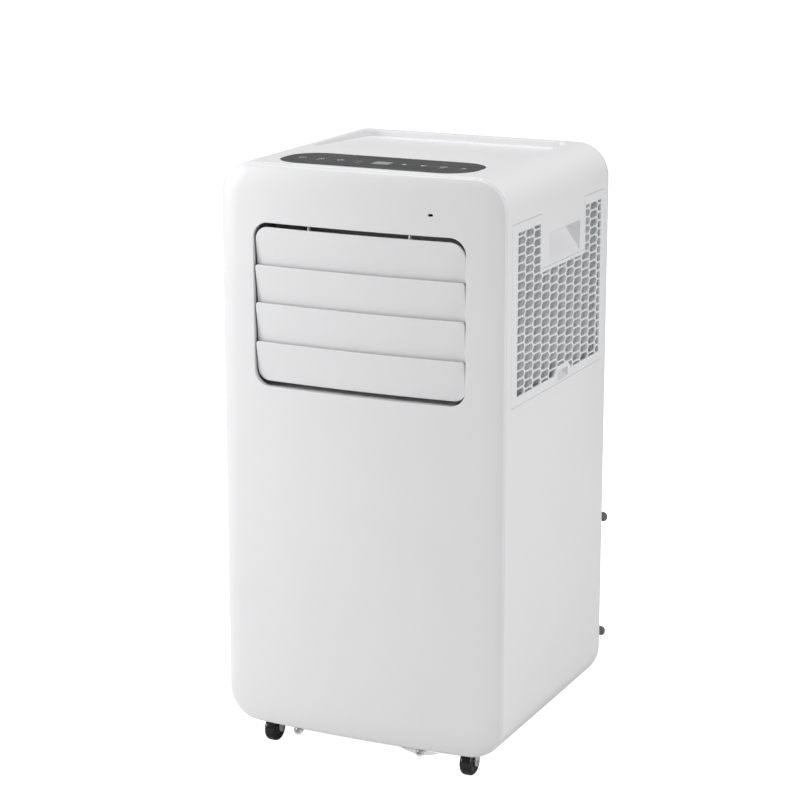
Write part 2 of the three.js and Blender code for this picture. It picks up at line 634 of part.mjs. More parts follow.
// The tray under the evaporators; the hot-air duct passes through it.
function condensateTray() {
  const { z, halfWidth, front, back, height: deep, passage } = waterTray;
  const outline = (inset) => rounded(-halfWidth + inset, halfWidth - inset, front + inset, back - inset,
    8 - inset, 2);
  return cut(prism(outline(0), 'Z', z, z + deep), prism(outline(wall), 'Z', z + 3, z + 20),
    block(-passage, passage, fan.front - 1.5, rearY - 3.5, z - 5, z + 20));
}

// ---- cold circuit ----
function compressorShell() {
  const { x, y, radius } = compressor;
  const body = turned([[0, 0], [radius + 8, 0], [radius + 8, 3], [radius, 3.5], [radius, 165],
    [radius * 0.8, 186], [0, 198]], 16);
  return moved(body, x, y, floorZ + 3.4);
}

function accumulatorShell() {
  const { x, y, radius, low, height: tall } = accumulator;
  const body = turned([[0, 0], [radius / 2, 2], [radius, 12], [radius, tall - 12],
    [radius / 2, tall - 2], [0, tall]], 10);
  return moved(body, x, y, low);
}

// The hot line from the top of the compressor to the condenser's left end.
function dischargePipe() {
  const { x, y } = compressor;
  const [endX, endY] = [-condenser.halfWidth - 7, fan.back + 20];
  return pipe(4, [[x, y, floorZ + 203], [x, y, 258], [x - 20, y + 25, 275], [x - 50, y + 90, 275],
    [x - 50, y + 170, 270], [endX, endY, 240], [endX, endY, 200]], 16);
}

// ---- rear fittings ----
function cordHook(z) {
  const { left, right, stemLeft, stemRight } = cordHooks;
  const stem = block(stemLeft, stemRight, rearY, rearY + hookReach - 2, z - 4, z + 4);
  const flange = prism(rounded(left, right, z - 6, z + 6, [5, 3, 3, 5], 4), 'Y',
    rearY + hookReach - 3.5, rearY + hookReach);
  return join(stem, flange);
}

function drainSpout() {
  const { x, z, radius } = drain;
  return cut(join(rod('Y', radius, rearY - 22, rearY + 8, [x, z], 12),
    rod('Y', radius + fittingFlange, rearY, rearY + 2, [x, z], 12)),
  rod('Y', radius - 3, rearY - 30, rearY + 20, [x, z], 12));
}

function drainPlug() {
  const { x, z, radius } = drain;
  return join(rod('Y', radius - 3.4, rearY - 2, rearY + 9, [x, z], 12),
    rod('Y', radius + 1.5, rearY + 8.4, rearY + hookReach - 2, [x, z], 12),
    block(x - 2, x + 2, rearY + hookReach - 3, rearY + hookReach - 0.2, z - radius, z + radius));
}

function cordGland() {
  const { x, z, radius, bore } = gland;
  return cut(join(rod('Y', radius, rearY - 8, rearY + 7, [x, z], 16),
    rod('Y', radius + fittingFlange, rearY, rearY + 2, [x, z], 16)),
  rod('Y', bore, rearY - 20, rearY + 20, [x, z], 12));
}

// ---- castors ----
// A swivel fork over one wheel; the wheel trails behind the stem.
function castorFork() {
  const inner = castor.width / 2 + castor.clearance;
  const outer = inner + castor.cheek;
  const top = floorZ - 3.6;
  const cheek = [[-4.5, top], [-4.5, castor.radius], [-2.4, 12], [2.4, 12], [4.5, castor.radius],
    [castor.trail + 5, top - 3.4], [castor.trail + 5, top]];
  const arms = [prism(cheek, 'X', inner, outer), prism(cheek, 'X', -outer, -inner)];
  const plate = rod('Z', castor.plate, top - 0.5, floorZ - 0.5, [0, castor.trail], 12);
  const bridge = block(-outer, outer, -4.5, castor.trail + 5, castor.radius * 2 + 0.9, top);
  const stem = rod('Z', castor.stem, top, floorZ + 7, [0, castor.trail], 8);
  const bore = rod('X', castor.axle + 0.5, -20, 20, [0, castor.radius], 8);
  return cut(join(...arms, plate, bridge, stem), bore);
}

function castorWheel() {
  const { radius, width: tread } = castor;
  const [half, soft, bore] = [tread / 2, 4.5, castor.axle + 0.5];
  const shoulder = radius - soft;
  const profile = [[bore, -half], [shoulder, -half], ...arc(shoulder, -half + soft, soft, 315, 360, 1),
    ...arc(shoulder, half - soft, soft, 0, 45, 1), [shoulder, half], [bore, half], [bore, -half]];
  return moved(turned(profile, 16).rotate([0, 90, 0]), 0, 0, castor.radius);
}

function castorAxle() {
  const half = castor.width / 2 + 3.2;
  const { axle, axleHead, radius } = castor;
  return join(rod('X', axle, -half, half, [0, radius], 8),
    rod('X', axleHead, half - 0.4, half + 0.8, [0, radius], 8),
    rod('X', axleHead, -half - 0.8, -half + 0.4, [0, radius], 8));
}

// ---- assembly ----
const finishes = {
  whitePlastic: { color: '#e9e9eb', roughness: 0.38 },
  slatPlastic: { color: '#e6e6e8', roughness: 0.4 },
  darkPanel: { color: '#3f4042', roughness: 0.18 },
  display: { color: '#b9babb', roughness: 0.25 },
  blackGlass: { color: '#101011', roughness: 0.15 },
  ductGrey: { color: '#3c3d3f', roughness: 0.6 },
  innerPlastic: { color: '#cfd0d2', roughness: 0.6 },
  filterNet: { color: '#8d9698', roughness: 0.7 },
  fins: { color: '#a9b3b3', roughness: 0.45, metalness: 0.7 },
  steel: { color: '#8b8c8e', roughness: 0.4, metalness: 0.9 },
  copper: { color: '#b5693f', roughness: 0.35, metalness: 1 },
  blackPaint: { color: '#18181a', roughness: 0.45 },
  boardGreen: { color: '#2c6b45', roughness: 0.55 },
  rubberGrey: { color: '#58595b', roughness: 0.7 },
  wheelBlack: { color: '#0d0d0e', roughness: 0.25 },
  forkGrey: { color: '#b9babc', roughness: 0.4 },
};

function mesh(name, solid, finish) {
  const { vertProperties, triVerts } = solid.getMesh();
  const geometry = new THREE.BufferGeometry();
  geometry.setAttribute('position', new THREE.BufferAttribute(new Float32Array(vertProperties), 3));
  geometry.setIndex(new THREE.BufferAttribute(new Uint32Array(triVerts), 1));
  geometry.computeVertexNormals();
  const { color, roughness, metalness = 0 } = finishes[finish];
  const material = new THREE.MeshStandardMaterial({ color, roughness, metalness });
  const result = new THREE.Mesh(geometry, material);
  result.name = name;
  return result;
}

function casing() {
  const group = new THREE.Group();
  group.add(
    mesh('front_cover', frontCover(), 'whitePlastic'),
    mesh('body_wrap', bodyWrap(), 'whitePlastic'),
    mesh('top_tray', topTray(), 'whitePlastic'),
    mesh('rear_cover', rearCover(), 'whitePlastic'),
    mesh('base_tray', baseTray(), 'whitePlastic'),
    mesh('lug_screw_left', lugScrew(lugs.left), 'steel'),
    mesh('lug_screw_right', lugScrew(lugs.right), 'steel'),
    mesh('control_panel', controlPanel(), 'darkPanel'),
    mesh('display_window', displayWindow(), 'display'),
    mesh('control_board', controlBoard(), 'boardGreen'),
    mesh('receiver_window', receiverWindow(), 'blackGlass'),
  );
  return group;
}

function louvers() {
  const group = new THREE.Group();
  slatTops.forEach((_, i) => group.add(mesh(`louver_${i + 1}`, slat(i), 'slatPlastic')));
  group.add(
    mesh('link_bar', linkBar(), 'ductGrey'),
    mesh('louver_frame', louverFrame(), 'innerPlastic'),
    mesh('louver_motor', louverMotor(), 'innerPlastic'),
  );
  return group;
}

function filters() {
  const group = new THREE.Group();
  const [frame, net] = [filterFrame(), filterMesh()];
  group.add(
    mesh('filter_frame_right', frame, 'whitePlastic'),
    mesh('filter_frame_left', mirroredX(frame), 'whitePlastic'),
    mesh('filter_mesh_right', net, 'filterNet'),
    mesh('filter_mesh_left', mirroredX(net), 'filterNet'),
  );
  return group;
}

function airPath() {
  const group = new THREE.Group();
  const blowerDrum = mesh('blower_wheel', bladedDrum(62, 56, 7), 'innerPlastic');
  blowerDrum.position.set(0, blower.y, blower.z);
  const fanDrum = mesh('fan_wheel', bladedDrum(72, 26, 7), 'ductGrey');
  fanDrum.rotation.z = -Math.PI / 2;
  fanDrum.position.set(0, (fan.front + fan.back) / 2, fan.z);
  group.add(
    blowerDrum,
    fanDrum,
    mesh('blower_scroll', blowerScroll(), 'innerPlastic'),
    mesh('blower_motor', rod('X', blower.motor, blower.half + 6, blower.half + 34,
      [blower.y, blower.z], 20), 'steel'),
    mesh('fan_housing', fanHousing(), 'innerPlastic'),
    mesh('fan_motor', rod('Y', fan.motor, fan.front - 32, fan.front - 1, [0, fan.z], 20), 'steel'),
    mesh('hot_air_duct', hotAirDuct(), 'innerPlastic'),
    mesh('exhaust_collar', exhaustCollar(), 'ductGrey'),
    mesh('water_tray', condensateTray(), 'innerPlastic'),
  );
  return group;
}

function coldCircuit() {
  const group = new THREE.Group();
  const { near, far, front, back, top } = evaporator;
  const evaporatorBlock = block(near, far, front, back, waterTray.z + 16, top);
  const condenserBlock = block(-condenser.halfWidth, condenser.halfWidth, fan.back + 4,
    fan.back + 4 + condenser.thick, condenser.low, fan.top - 6);
  const box = rounded(electrics.left, electrics.right, electrics.front, electrics.back, 5, 1);
  group.add(
    mesh('evaporator_right', evaporatorBlock, 'fins'),
    mesh('evaporator_left', mirroredX(evaporatorBlock), 'fins'),
    mesh('condenser', condenserBlock, 'fins'),
    mesh('compressor', compressorShell(), 'blackPaint'),
    mesh('accumulator', accumulatorShell(), 'blackPaint'),
    mesh('discharge_pipe', dischargePipe(), 'copper'),
    mesh('electrics_box', prism(box, 'Z', electrics.low, electrics.high), 'innerPlastic'),
    mesh('capacitor', rod('Z', 19, 60, 145, [108, -88], 18), 'steel'),
  );
  return group;
}

function rearFittings() {
  const group = new THREE.Group();
  group.add(
    mesh('cord_hook_lower', cordHook(cordHooks.lowerZ), 'rubberGrey'),
    mesh('cord_hook_upper', cordHook(cordHooks.upperZ), 'rubberGrey'),
    mesh('drain_spout', drainSpout(), 'innerPlastic'),
    mesh('drain_plug', drainPlug(), 'rubberGrey'),
    mesh('cord_gland', cordGland(), 'blackPaint'),
  );
  return group;
}

function castors() {
  const group = new THREE.Group();
  const pieces = [
    ['fork', castorFork(), 'forkGrey'],
    ['wheel', castorWheel(), 'wheelBlack'],
    ['axle', castorAxle(), 'steel'],
  ];
  for (const [place, x, y] of castorPlaces) {
    const unit = new THREE.Group();
    unit.position.set(x, y, 0);
    for (const [piece, solid, finish] of pieces) unit.add(mesh(`castor_${piece}_${place}`, solid, finish));
    group.add(unit);
  }
  return group;
}

const airConditioner = new THREE.Group();
airConditioner.add(casing(), louvers(), filters(), airPath(), coldCircuit(), rearFittings(), castors());

export default airConditioner;
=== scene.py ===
import json
import math

import bmesh
import bpy
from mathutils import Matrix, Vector


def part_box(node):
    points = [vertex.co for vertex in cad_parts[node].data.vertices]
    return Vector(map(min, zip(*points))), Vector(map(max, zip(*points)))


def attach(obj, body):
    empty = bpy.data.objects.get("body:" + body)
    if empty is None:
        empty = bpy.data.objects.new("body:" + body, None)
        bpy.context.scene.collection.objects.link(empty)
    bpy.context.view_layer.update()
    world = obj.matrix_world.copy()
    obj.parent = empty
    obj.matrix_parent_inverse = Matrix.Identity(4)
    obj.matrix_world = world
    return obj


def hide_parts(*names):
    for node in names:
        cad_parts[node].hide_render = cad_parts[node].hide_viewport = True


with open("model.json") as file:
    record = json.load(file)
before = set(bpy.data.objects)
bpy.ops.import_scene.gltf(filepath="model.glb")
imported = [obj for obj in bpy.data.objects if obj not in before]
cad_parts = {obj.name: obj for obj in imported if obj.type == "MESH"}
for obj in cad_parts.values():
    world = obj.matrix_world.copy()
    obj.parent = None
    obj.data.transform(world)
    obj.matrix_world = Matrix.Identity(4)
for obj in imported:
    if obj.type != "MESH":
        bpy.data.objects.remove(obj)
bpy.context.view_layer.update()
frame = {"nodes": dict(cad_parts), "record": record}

# Portable air conditioner: smooth casing, louvres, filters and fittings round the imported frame.
# Shapes are worked out in millimetres and become metres when their mesh is made.
mm = 0.001
print('frame loaded with', len(frame['nodes']), 'nodes')


def boxOf(node):    # a frame node's corners in millimetres
    low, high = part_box(node)
    return low / mm, high / mm


coverLow, coverHigh = boxOf('front_cover')
wrapLow, wrapHigh = boxOf('body_wrap')

casing = {
    'halfWidth': wrapHigh.x, 'bottom': wrapLow.z, 'top': wrapHigh.z,
    'front': coverLow.y, 'seam': coverHigh.y, 'back': wrapHigh.y,
    'corner': 40,           # corner radius seen from the front
    'rearFillet': 27, 'wall': 2.5, 'gap': 0.35,
    'bow': coverHigh.y - coverLow.y - 5.5,   # the front's curve from its middle to its sides
    'cornerSteps': 14,
}


# outlines and skins
def arc(cu, cv, radius, start, end, steps):
    turns = [math.radians(start + (end - start) * i / steps) for i in range(steps + 1)]
    return [(cu + radius * math.cos(turn), cv + radius * math.sin(turn)) for turn in turns]


def between(first, last, parts):    # the inner points of a straight run
    return [tuple(a + (b - a) * i / parts for a, b in zip(first, last)) for i in range(1, parts)]


# anticlockwise from the right end of the top right corner
# radii are top right, top left, bottom left and bottom right
def roundedOutline(u0, u1, v0, v1, radii, steps=8, across=1, up=1):
    tr, tl, bl, br = radii if isinstance(radii, tuple) else (radii,) * 4
    corners = [arc(u1 - tr, v1 - tr, tr, 0, 90, steps), arc(u0 + tl, v1 - tl, tl, 90, 180, steps),
               arc(u0 + bl, v0 + bl, bl, 180, 270, steps), arc(u1 - br, v0 + br, br, 270, 360, steps)]
    points = []
    for i, corner in enumerate(corners):
        points += corner + between(corner[-1], corners[(i + 1) % 4][0], (across, up)[i % 2])
    return points


def placed(outline, axis, along):
    if axis == 'x':
        return [(along, u, v) for u, v in outline]
    if axis == 'y':
        return [(u, along, v) for u, v in outline]
    return [(u, v, along) for u, v in outline]


# quads between loops of equal count; caps closes both ends, with one face each or with strips across
def skin(loops, wrap=False, ring=True, caps=None):
    count = len(loops[0])
    faces = []
    for j in range(len(loops) if wrap else len(loops) - 1):
        here, there = j * count, (j + 1) % len(loops) * count
        for i in range(count if ring else count - 1):
            k = (i + 1) % count
            faces.append((here + i, here + k, there + k, there + i))
    for start in (0, (len(loops) - 1) * count) if caps else ():
        if caps == 'face':
            faces.append(tuple(range(start, start + count)))
        else:
            faces += [(start + i, start + i + 1, start + count - 2 - i, start + count - 1 - i)
                      for i in range(count // 2 - 1)]
    return [point for loop in loops for point in loop], faces


def prism(outline, axis, start, end):
    return skin([placed(outline, axis, start), placed(outline, axis, end)], caps='face')


def block(x0, x1, y0, y1, z0, z1):
    return prism([(x0, y0), (x1, y0), (x1, y1), (x0, y1)], 'z', z0, z1)


def softSlab(outlineAt, axis, start, end, radius, steps=4, caps='face'):    # a slab whose rims are rounded
    turns = [math.pi / 2 * i / steps for i in range(steps + 1)]
    side = math.copysign(1, end - start)
    rims = [(radius * (1 - math.sin(turn)), radius * (1 - math.cos(turn)) * side) for turn in turns]
    loops = [placed(outlineAt(inset), axis, start + depth) for inset, depth in rims]
    loops += [placed(outlineAt(inset), axis, end - depth) for inset, depth in reversed(rims)]
    return skin(loops, caps=caps)


def lathe(profile, axis, centre, steps=48, ring=True):    # a profile of (radius, along) turned about an axis
    shift = {'x': 1, 'y': 2, 'z': 0}[axis]    # moves the coordinates of a turn about z round to the axis
    loops = []
    for i in range(steps):
        turn = 2 * math.pi * i / steps
        points = [(radius * math.cos(turn), radius * math.sin(turn), along) for radius, along in profile]
        loops.append([tuple(point[(k - shift) % 3] + centre[k] for k in range(3)) for point in points])
    return skin(loops, wrap=True, ring=ring)


def rod(axis, radius, start, end, centre, steps=24, soft=0.4):    # a round bar with softened ends
    profile = [(0, start), (radius - soft, start), (radius, start + soft),
               (radius, end - soft), (radius - soft, end), (0, end)]
    return lathe(profile, axis, centre, steps, ring=False)


# pieces
def tidyMesh(mesh):
    work = bmesh.new()
    work.from_mesh(mesh)
    bmesh.ops.remove_doubles(work, verts=work.verts, dist=2e-6)
    bmesh.ops.dissolve_degenerate(work, edges=work.edges, dist=1e-6)
    bmesh.ops.recalc_face_normals(work, faces=work.faces)
    work.to_mesh(mesh)
    work.free()


def meshObject(name, parts):
    points, faces = [], []
    for partPoints, partFaces in parts:
        start = len(points)
        points += [tuple(value * mm for value in point) for point in partPoints]
        faces += [tuple(start + i for i in face) for face in partFaces]
    mesh = bpy.data.meshes.new(name)
    mesh.from_pydata(points, [], faces)
    tidyMesh(mesh)
    piece = bpy.data.objects.new(name, mesh)
    bpy.context.scene.collection.objects.link(piece)
    return piece


def bakeModifiers(piece):
    graph = bpy.context.evaluated_depsgraph_get()
    baked = bpy.data.meshes.new_from_object(piece.evaluated_get(graph))
    piece.modifiers.clear()
    piece.data = baked
    baked.name = piece.name


def carve(piece, *parts, operation='DIFFERENCE'):    # cuts with, or joins, each part in turn
    for part in parts:
        tool = part if isinstance(part, bpy.types.Object) else meshObject('tool', [part])
        modifier = piece.modifiers.new('carve', 'BOOLEAN')
        modifier.operation = operation
        modifier.solver = 'MANIFOLD'
        modifier.object = tool
        bakeModifiers(piece)
        bpy.data.objects.remove(tool)
    return piece


def fuse(name, first, *others):
    return carve(meshObject(name, [first]), *others, operation='UNION')


def softenEdges(piece, width, limit=50):
    modifier = piece.modifiers.new('soften', 'BEVEL')
    modifier.width = width * mm
    modifier.segments = 2
    modifier.limit_method = 'ANGLE'
    modifier.angle_limit = math.radians(limit)
    modifier.use_clamp_overlap = False
    modifier.miter_outer = 'MITER_ARC'
    bakeModifiers(piece)
    return piece


def splitFaces(piece):    # a face with holes in it is only safe as triangles
    work = bmesh.new()
    work.from_mesh(piece.data)
    bmesh.ops.triangulate(work, faces=[face for face in work.faces if len(face.verts) > 4])
    work.to_mesh(piece.data)
    work.free()


def mirroredCopy(piece, name):
    mesh = piece.data.copy()
    for vertex in mesh.vertices:
        vertex.co.x = -vertex.co.x
    mesh.flip_normals()
    copy = bpy.data.objects.new(name, mesh)
    bpy.context.scene.collection.objects.link(copy)
    return copy


def finishPiece(piece, slotName, body='cabinet', replaced=(), sharp=35, weighted=True):
    tidyMesh(piece.data)
    piece.data.materials.clear()
    piece.data.materials.append(finishes[slotName])
    piece.data.polygons.foreach_set('material_index', [0] * len(piece.data.polygons))
    piece.data.shade_smooth()
    piece.data.set_sharp_from_angle(angle=math.radians(sharp))
    if weighted:
        modifier = piece.modifiers.new('evenNormals', 'WEIGHTED_NORMAL')
        modifier.keep_sharp = True
        bakeModifiers(piece)
    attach(piece, body)
    if replaced:
        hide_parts(*replaced)
    return piece


# node trees
class Signal:    # a socket that Python's operators work on
    def __init__(self, bench, socket):
        self.bench, self.socket = bench, socket

    def __add__(self, other):
        return self.bench.maths('ADD', self, other)

    def __radd__(self, other):
        return self.bench.maths('ADD', other, self)

    def __sub__(self, other):
        return self.bench.maths('SUBTRACT', self, other)

    def __rsub__(self, other):
        return self.bench.maths('SUBTRACT', other, self)

    def __mul__(self, other):
        return self.bench.maths('MULTIPLY', self, other)

    def __rmul__(self, other):
        return self.bench.maths('MULTIPLY', other, self)

    def __truediv__(self, other):
        return self.bench.maths('DIVIDE', self, other)

    def __rtruediv__(self, other):
        return self.bench.maths('DIVIDE', other, self)

    def __mod__(self, other):
        return self.bench.maths('FLOORED_MODULO', self, other)

    def __gt__(self, other):
        return self.bench.maths('GREATER_THAN', self, other)

    def __lt__(self, other):
        return self.bench.maths('LESS_THAN', self, other)


class Bench:    # adds nodes to one tree
    def __init__(self, tree):
        self.tree = tree

    def feed(self, socket, value):
        if isinstance(value, Signal):
            self.tree.links.new(value.socket, socket)
        elif socket.type == 'RGBA' and len(value) == 3:
            socket.default_value = (*value, 1)
        else:
            socket.default_value = value

    def add(self, kind, settings=None, sockets=None, out=0):
        node = self.tree.nodes.new(kind)
        for key, value in (settings or {}).items():
            if key == 'stops':
                ramp = node.color_ramp.elements
                for element, (position, tone) in zip([ramp[0], ramp[-1]], [value[0], value[-1]]):
                    element.position, element.color = position, (*tone, 1)
                for position, tone in value[1:-1]:
                    ramp.new(position).color = (*tone, 1)
            else:
                setattr(node, key, value)
        for key, value in (sockets or {}).items():
            self.feed(node.inputs[key], value)
        return Signal(self, node.outputs[out])

    def maths(self, operation, *values):
        return self.add('ShaderNodeMath', {'operation': operation}, dict(enumerate(values)))

    def colourMix(self, factor, first, second):
        return self.add('ShaderNodeMix', {'data_type': 'RGBA'}, {0: factor, 6: first, 7: second}, out=2)

    def limited(self, value):
        return self.add('ShaderNodeClamp', sockets={'Value': value})

    def axes(self, vector):
        node = self.tree.nodes.new('ShaderNodeSeparateXYZ')
        self.feed(node.inputs[0], vector)
        return [Signal(self, output) for output in node.outputs]

    def noise(self, vector, size, detail=2, stretch=None):    # size is a feature's own, in millimetres
        if stretch:
            vector = self.add('ShaderNodeMapping', sockets={'Vector': vector, 'Scale': stretch})
        return self.add('ShaderNodeTexNoise', sockets={
            'Vector': vector, 'Scale': 1 / (size * mm), 'Detail': detail, 'Roughness': 0.55})

    def cells(self, vector, size):    # distance to the edge of each cell
        return self.add('ShaderNodeTexVoronoi', {'feature': 'DISTANCE_TO_EDGE'},
                        {'Vector': vector, 'Scale': 1 / (size * mm)})


def newTree(name, *inputs):
    tree = bpy.data.node_groups.new(name, 'GeometryNodeTree')
    tree.interface.new_socket('Geometry', in_out='INPUT', socket_type='NodeSocketGeometry')
    tree.interface.new_socket('Geometry', in_out='OUTPUT', socket_type='NodeSocketGeometry')
    for label, kind in inputs:
        tree.interface.new_socket(label, in_out='INPUT', socket_type='NodeSocket' + kind)
    bench = Bench(tree)
    source = tree.nodes.new('NodeGroupInput')
    return bench, {output.name: Signal(bench, output) for output in source.outputs if output.name}


def endTree(bench, geometry, material):    # real geometry, with its finish
    solid = bench.add('GeometryNodeRealizeInstances', sockets={'Geometry': geometry})
    coated = bench.add('GeometryNodeSetMaterial', sockets={'Geometry': solid, 'Material': material})
    exit = bench.tree.nodes.new('NodeGroupOutput')
    bench.feed(exit.inputs[0], coated)
    return bench.tree


def unitOf(bench, item):
    return bench.add('GeometryNodeObjectInfo', sockets={'Object': item}, out='Geometry')


def grow(piece, tree, values):    # runs a tree on a piece and keeps the plain mesh
    modifier = piece.modifiers.new(tree.name, 'NODES')
    modifier.node_group = tree
    for item in tree.interface.items_tree:
        if item.in_out == 'INPUT' and item.name in values:
            modifier[item.identifier] = values[item.name]
    bakeModifiers(piece)
    return piece


def perforationTree():    # staggered columns of one cell, cut to a field and taken out of a plate
    bench, given = newTree('perforation', ('Cell', 'Object'), ('Field', 'Object'), ('Columns', 'Int'),
                           ('Rows', 'Int'), ('Column Pitch', 'Float'), ('Row Pitch', 'Float'),
                           ('First', 'Vector'), ('Finish', 'Material'))
    number = bench.add('GeometryNodeInputIndex')
    column = bench.maths('FLOOR', number / given['Rows'])
    row = number % given['Rows']
    step = bench.add('ShaderNodeCombineXYZ', sockets={
        'X': 0.0, 'Y': column * given['Column Pitch'],
        'Z': 0 - given['Row Pitch'] * (row + 0.5 * (column % 2))})
    spot = bench.add('ShaderNodeVectorMath', {'operation': 'ADD'}, {0: given['First'], 1: step})
    points = bench.add('GeometryNodeMeshLine', sockets={'Count': given['Columns'] * given['Rows']})
    points = bench.add('GeometryNodeSetPosition', sockets={'Geometry': points, 'Position': spot})
    cells = bench.add('GeometryNodeInstanceOnPoints', sockets={
        'Points': points, 'Instance': unitOf(bench, given['Cell'])})
    cells = bench.add('GeometryNodeRealizeInstances', sockets={'Geometry': cells})
    solver = {'operation': 'INTERSECT', 'solver': 'MANIFOLD'}
    clipped = bench.add('GeometryNodeMeshBoolean', solver, {'Mesh 2': cells})
    clippedNode = clipped.socket.node
    bench.feed(clippedNode.inputs['Mesh 2'], unitOf(bench, given['Field']))
    plate = bench.add('GeometryNodeMeshBoolean', {'operation': 'DIFFERENCE', 'solver': 'MANIFOLD'},
                      {'Mesh 1': given['Geometry'], 'Mesh 2': clipped})
    return endTree(bench, plate, given['Finish'])


def gridTree():    # one unit repeated in rows and columns
    bench, given = newTree('grid', ('Unit', 'Object'), ('Columns', 'Int'), ('Rows', 'Int'),
                           ('Column Step', 'Vector'), ('Row Step', 'Vector'), ('Finish', 'Material'))
    number = bench.add('GeometryNodeInputIndex')
    column = bench.maths('FLOOR', number / given['Rows'])
    row = number % given['Rows']
    moves = [bench.add('ShaderNodeVectorMath', {'operation': 'SCALE'}, {0: given[label], 'Scale': count})
             for label, count in (('Column Step', column), ('Row Step', row))]
    spot = bench.add('ShaderNodeVectorMath', {'operation': 'ADD'}, {0: moves[0], 1: moves[1]})
    points = bench.add('GeometryNodeMeshLine', sockets={'Count': given['Columns'] * given['Rows']})
    points = bench.add('GeometryNodeSetPosition', sockets={'Geometry': points, 'Position': spot})
    copies = bench.add('GeometryNodeInstanceOnPoints', sockets={
        'Points': points, 'Instance': unitOf(bench, given['Unit'])})
    return endTree(bench, copies, given['Finish'])


def spotsTree():    # one unit set on every point of a mesh
    bench, given = newTree('spots', ('Unit', 'Object'), ('Turn', 'Float'), ('Finish', 'Material'))
    number = bench.add('GeometryNodeInputIndex')
    turn = bench.add('ShaderNodeCombineXYZ', sockets={'Y': number * given['Turn']})
    copies = bench.add('GeometryNodeInstanceOnPoints', sockets={
        'Points': given['Geometry'], 'Instance': unitOf(bench, given['Unit']), 'Rotation': turn})
    return endTree(bench, copies, given['Finish'])


trees = {'perforation': perforationTree(), 'grid': gridTree(), 'spots': spotsTree()}
print('node trees ready:', ', '.join(trees))


# finishes
def startFinish(name, metallic=0.0, constants=None):
    material = bpy.data.materials.new(name)
    material.use_nodes = True
    bench = Bench(material.node_tree)
    shader = material.node_tree.nodes['Principled BSDF']
    shader.inputs['Metallic'].default_value = metallic
    for key, value in (constants or {}).items():
        shader.inputs[key].default_value = value
    place = bench.add('ShaderNodeTexCoord', out='Object')
    return material, bench, shader, place


def setFinish(bench, shader, colour, roughness, height=None, depth=0.05, alpha=None):
    bench.feed(shader.inputs['Base Color'], colour)
    bench.feed(shader.inputs['Roughness'], roughness)
    if height is not None:    # depth is the relief in millimetres
        bump = bench.add('ShaderNodeBump', sockets={'Height': height, 'Distance': depth * mm}, out='Normal')
        bench.feed(shader.inputs['Normal'], bump)
    if alpha is not None:
        bench.feed(shader.inputs['Alpha'], alpha)


# moulded plastic: spark-eroded grain, a slow drift of tone and gloss, and dust that settles low down
def mouldedPlastic(name, look):
    material, bench, shader, place = startFinish(name, constants=look.get('constants'))
    grain = bench.noise(place, look['grain'], detail=3)
    drift = bench.noise(place, look['drift'], detail=3)
    specks = bench.limited((bench.noise(place, look['grain'] * 9, detail=4) - 0.62) * 6)
    height = bench.axes(place)[2]
    dust = bench.limited((look['dustTop'] * mm - height) / (look['dustTop'] * mm)) * specks
    tone = bench.colourMix(drift, look['shade'], look['tint'])
    tone = bench.colourMix(dust * look['dust'], tone, (0.42, 0.4, 0.37))
    low, high = look['roughness']
    gloss = low + (high - low) * (0.6 * drift + 0.4 * grain) + dust * 0.2
    setFinish(bench, shader, tone, gloss, grain, look['relief'])
    return material


# gloss lens over a dark back print, with faint wiping marks
def glossLens(name, look):
    material, bench, shader, place = startFinish(name, constants={
        'Coat Roughness': 0.12, 'IOR': 1.49, 'Specular IOR Level': 0.12})
    wiping = bench.noise(place, 30, detail=5, stretch=(0.35, 1.6, 1))
    sparkle = bench.cells(place, 0.35)
    tone = bench.colourMix(sparkle * 2, look['shade'], look['tint'])
    gloss = look['roughness'] + 0.13 * bench.limited((wiping - 0.42) * 3)
    bench.feed(shader.inputs['Coat Weight'], 0.09 - 0.06 * wiping)
    setFinish(bench, shader, tone, gloss, wiping, 0.01)
    return material


# display window: a diffuser with a fine raster under clear plastic
def rasterLens(name, look):
    material, bench, shader, place = startFinish(name, constants={
        'Coat Weight': 0.12, 'Coat Roughness': 0.15, 'Specular IOR Level': 0.2})
    across, along, _ = bench.axes(place)
    lines = bench.maths('PINGPONG', along / (look['pitch'] * mm), 0.5) * 2
    columns = bench.maths('PINGPONG', across / (look['pitch'] * mm), 0.5) * 2
    raster = bench.maths('MAXIMUM', lines, columns)
    cloud = bench.noise(place, 12, detail=3)
    tone = bench.colourMix(raster * 0.5 + cloud * 0.4, look['shade'], look['tint'])
    setFinish(bench, shader, tone, 0.2 + 0.1 * cloud, raster, 0.01)
    return material


# rolled or turned metal: fine lines along one axis, with a mild mottling of the plating
def linedMetal(name, look):
    material, bench, shader, place = startFinish(name, look.get('metallic', 1.0))
    lines = bench.noise(place, look['line'], detail=3, stretch=look['stretch'])
    blotch = bench.noise(place, look['blotch'], detail=4)
    tone = bench.colourMix(0.55 * blotch + 0.45 * lines, look['shade'], look['tint'])
    low, high = look['roughness']
    stain = bench.limited((blotch - 0.6) * 5)
    tone = bench.colourMix(stain * look['stain'], tone, look['stainTone'])
    setFinish(bench, shader, tone, low + (high - low) * lines + stain * 0.15, lines, look['relief'])
    return material


# sprayed paint over steel: soft orange peel and a cloudy gloss
def sprayedPaint(name, look):
    material, bench, shader, place = startFinish(name, constants={
        'Coat Weight': 0.25, 'Coat Roughness': 0.25})
    peel = bench.noise(place, look['peel'], detail=2)
    cloud = bench.noise(place, 40, detail=4)
    tone = bench.colourMix(cloud, look['shade'], look['tint'])
    setFinish(bench, shader, tone, 0.32 + 0.2 * cloud, peel, 0.12)
    return material


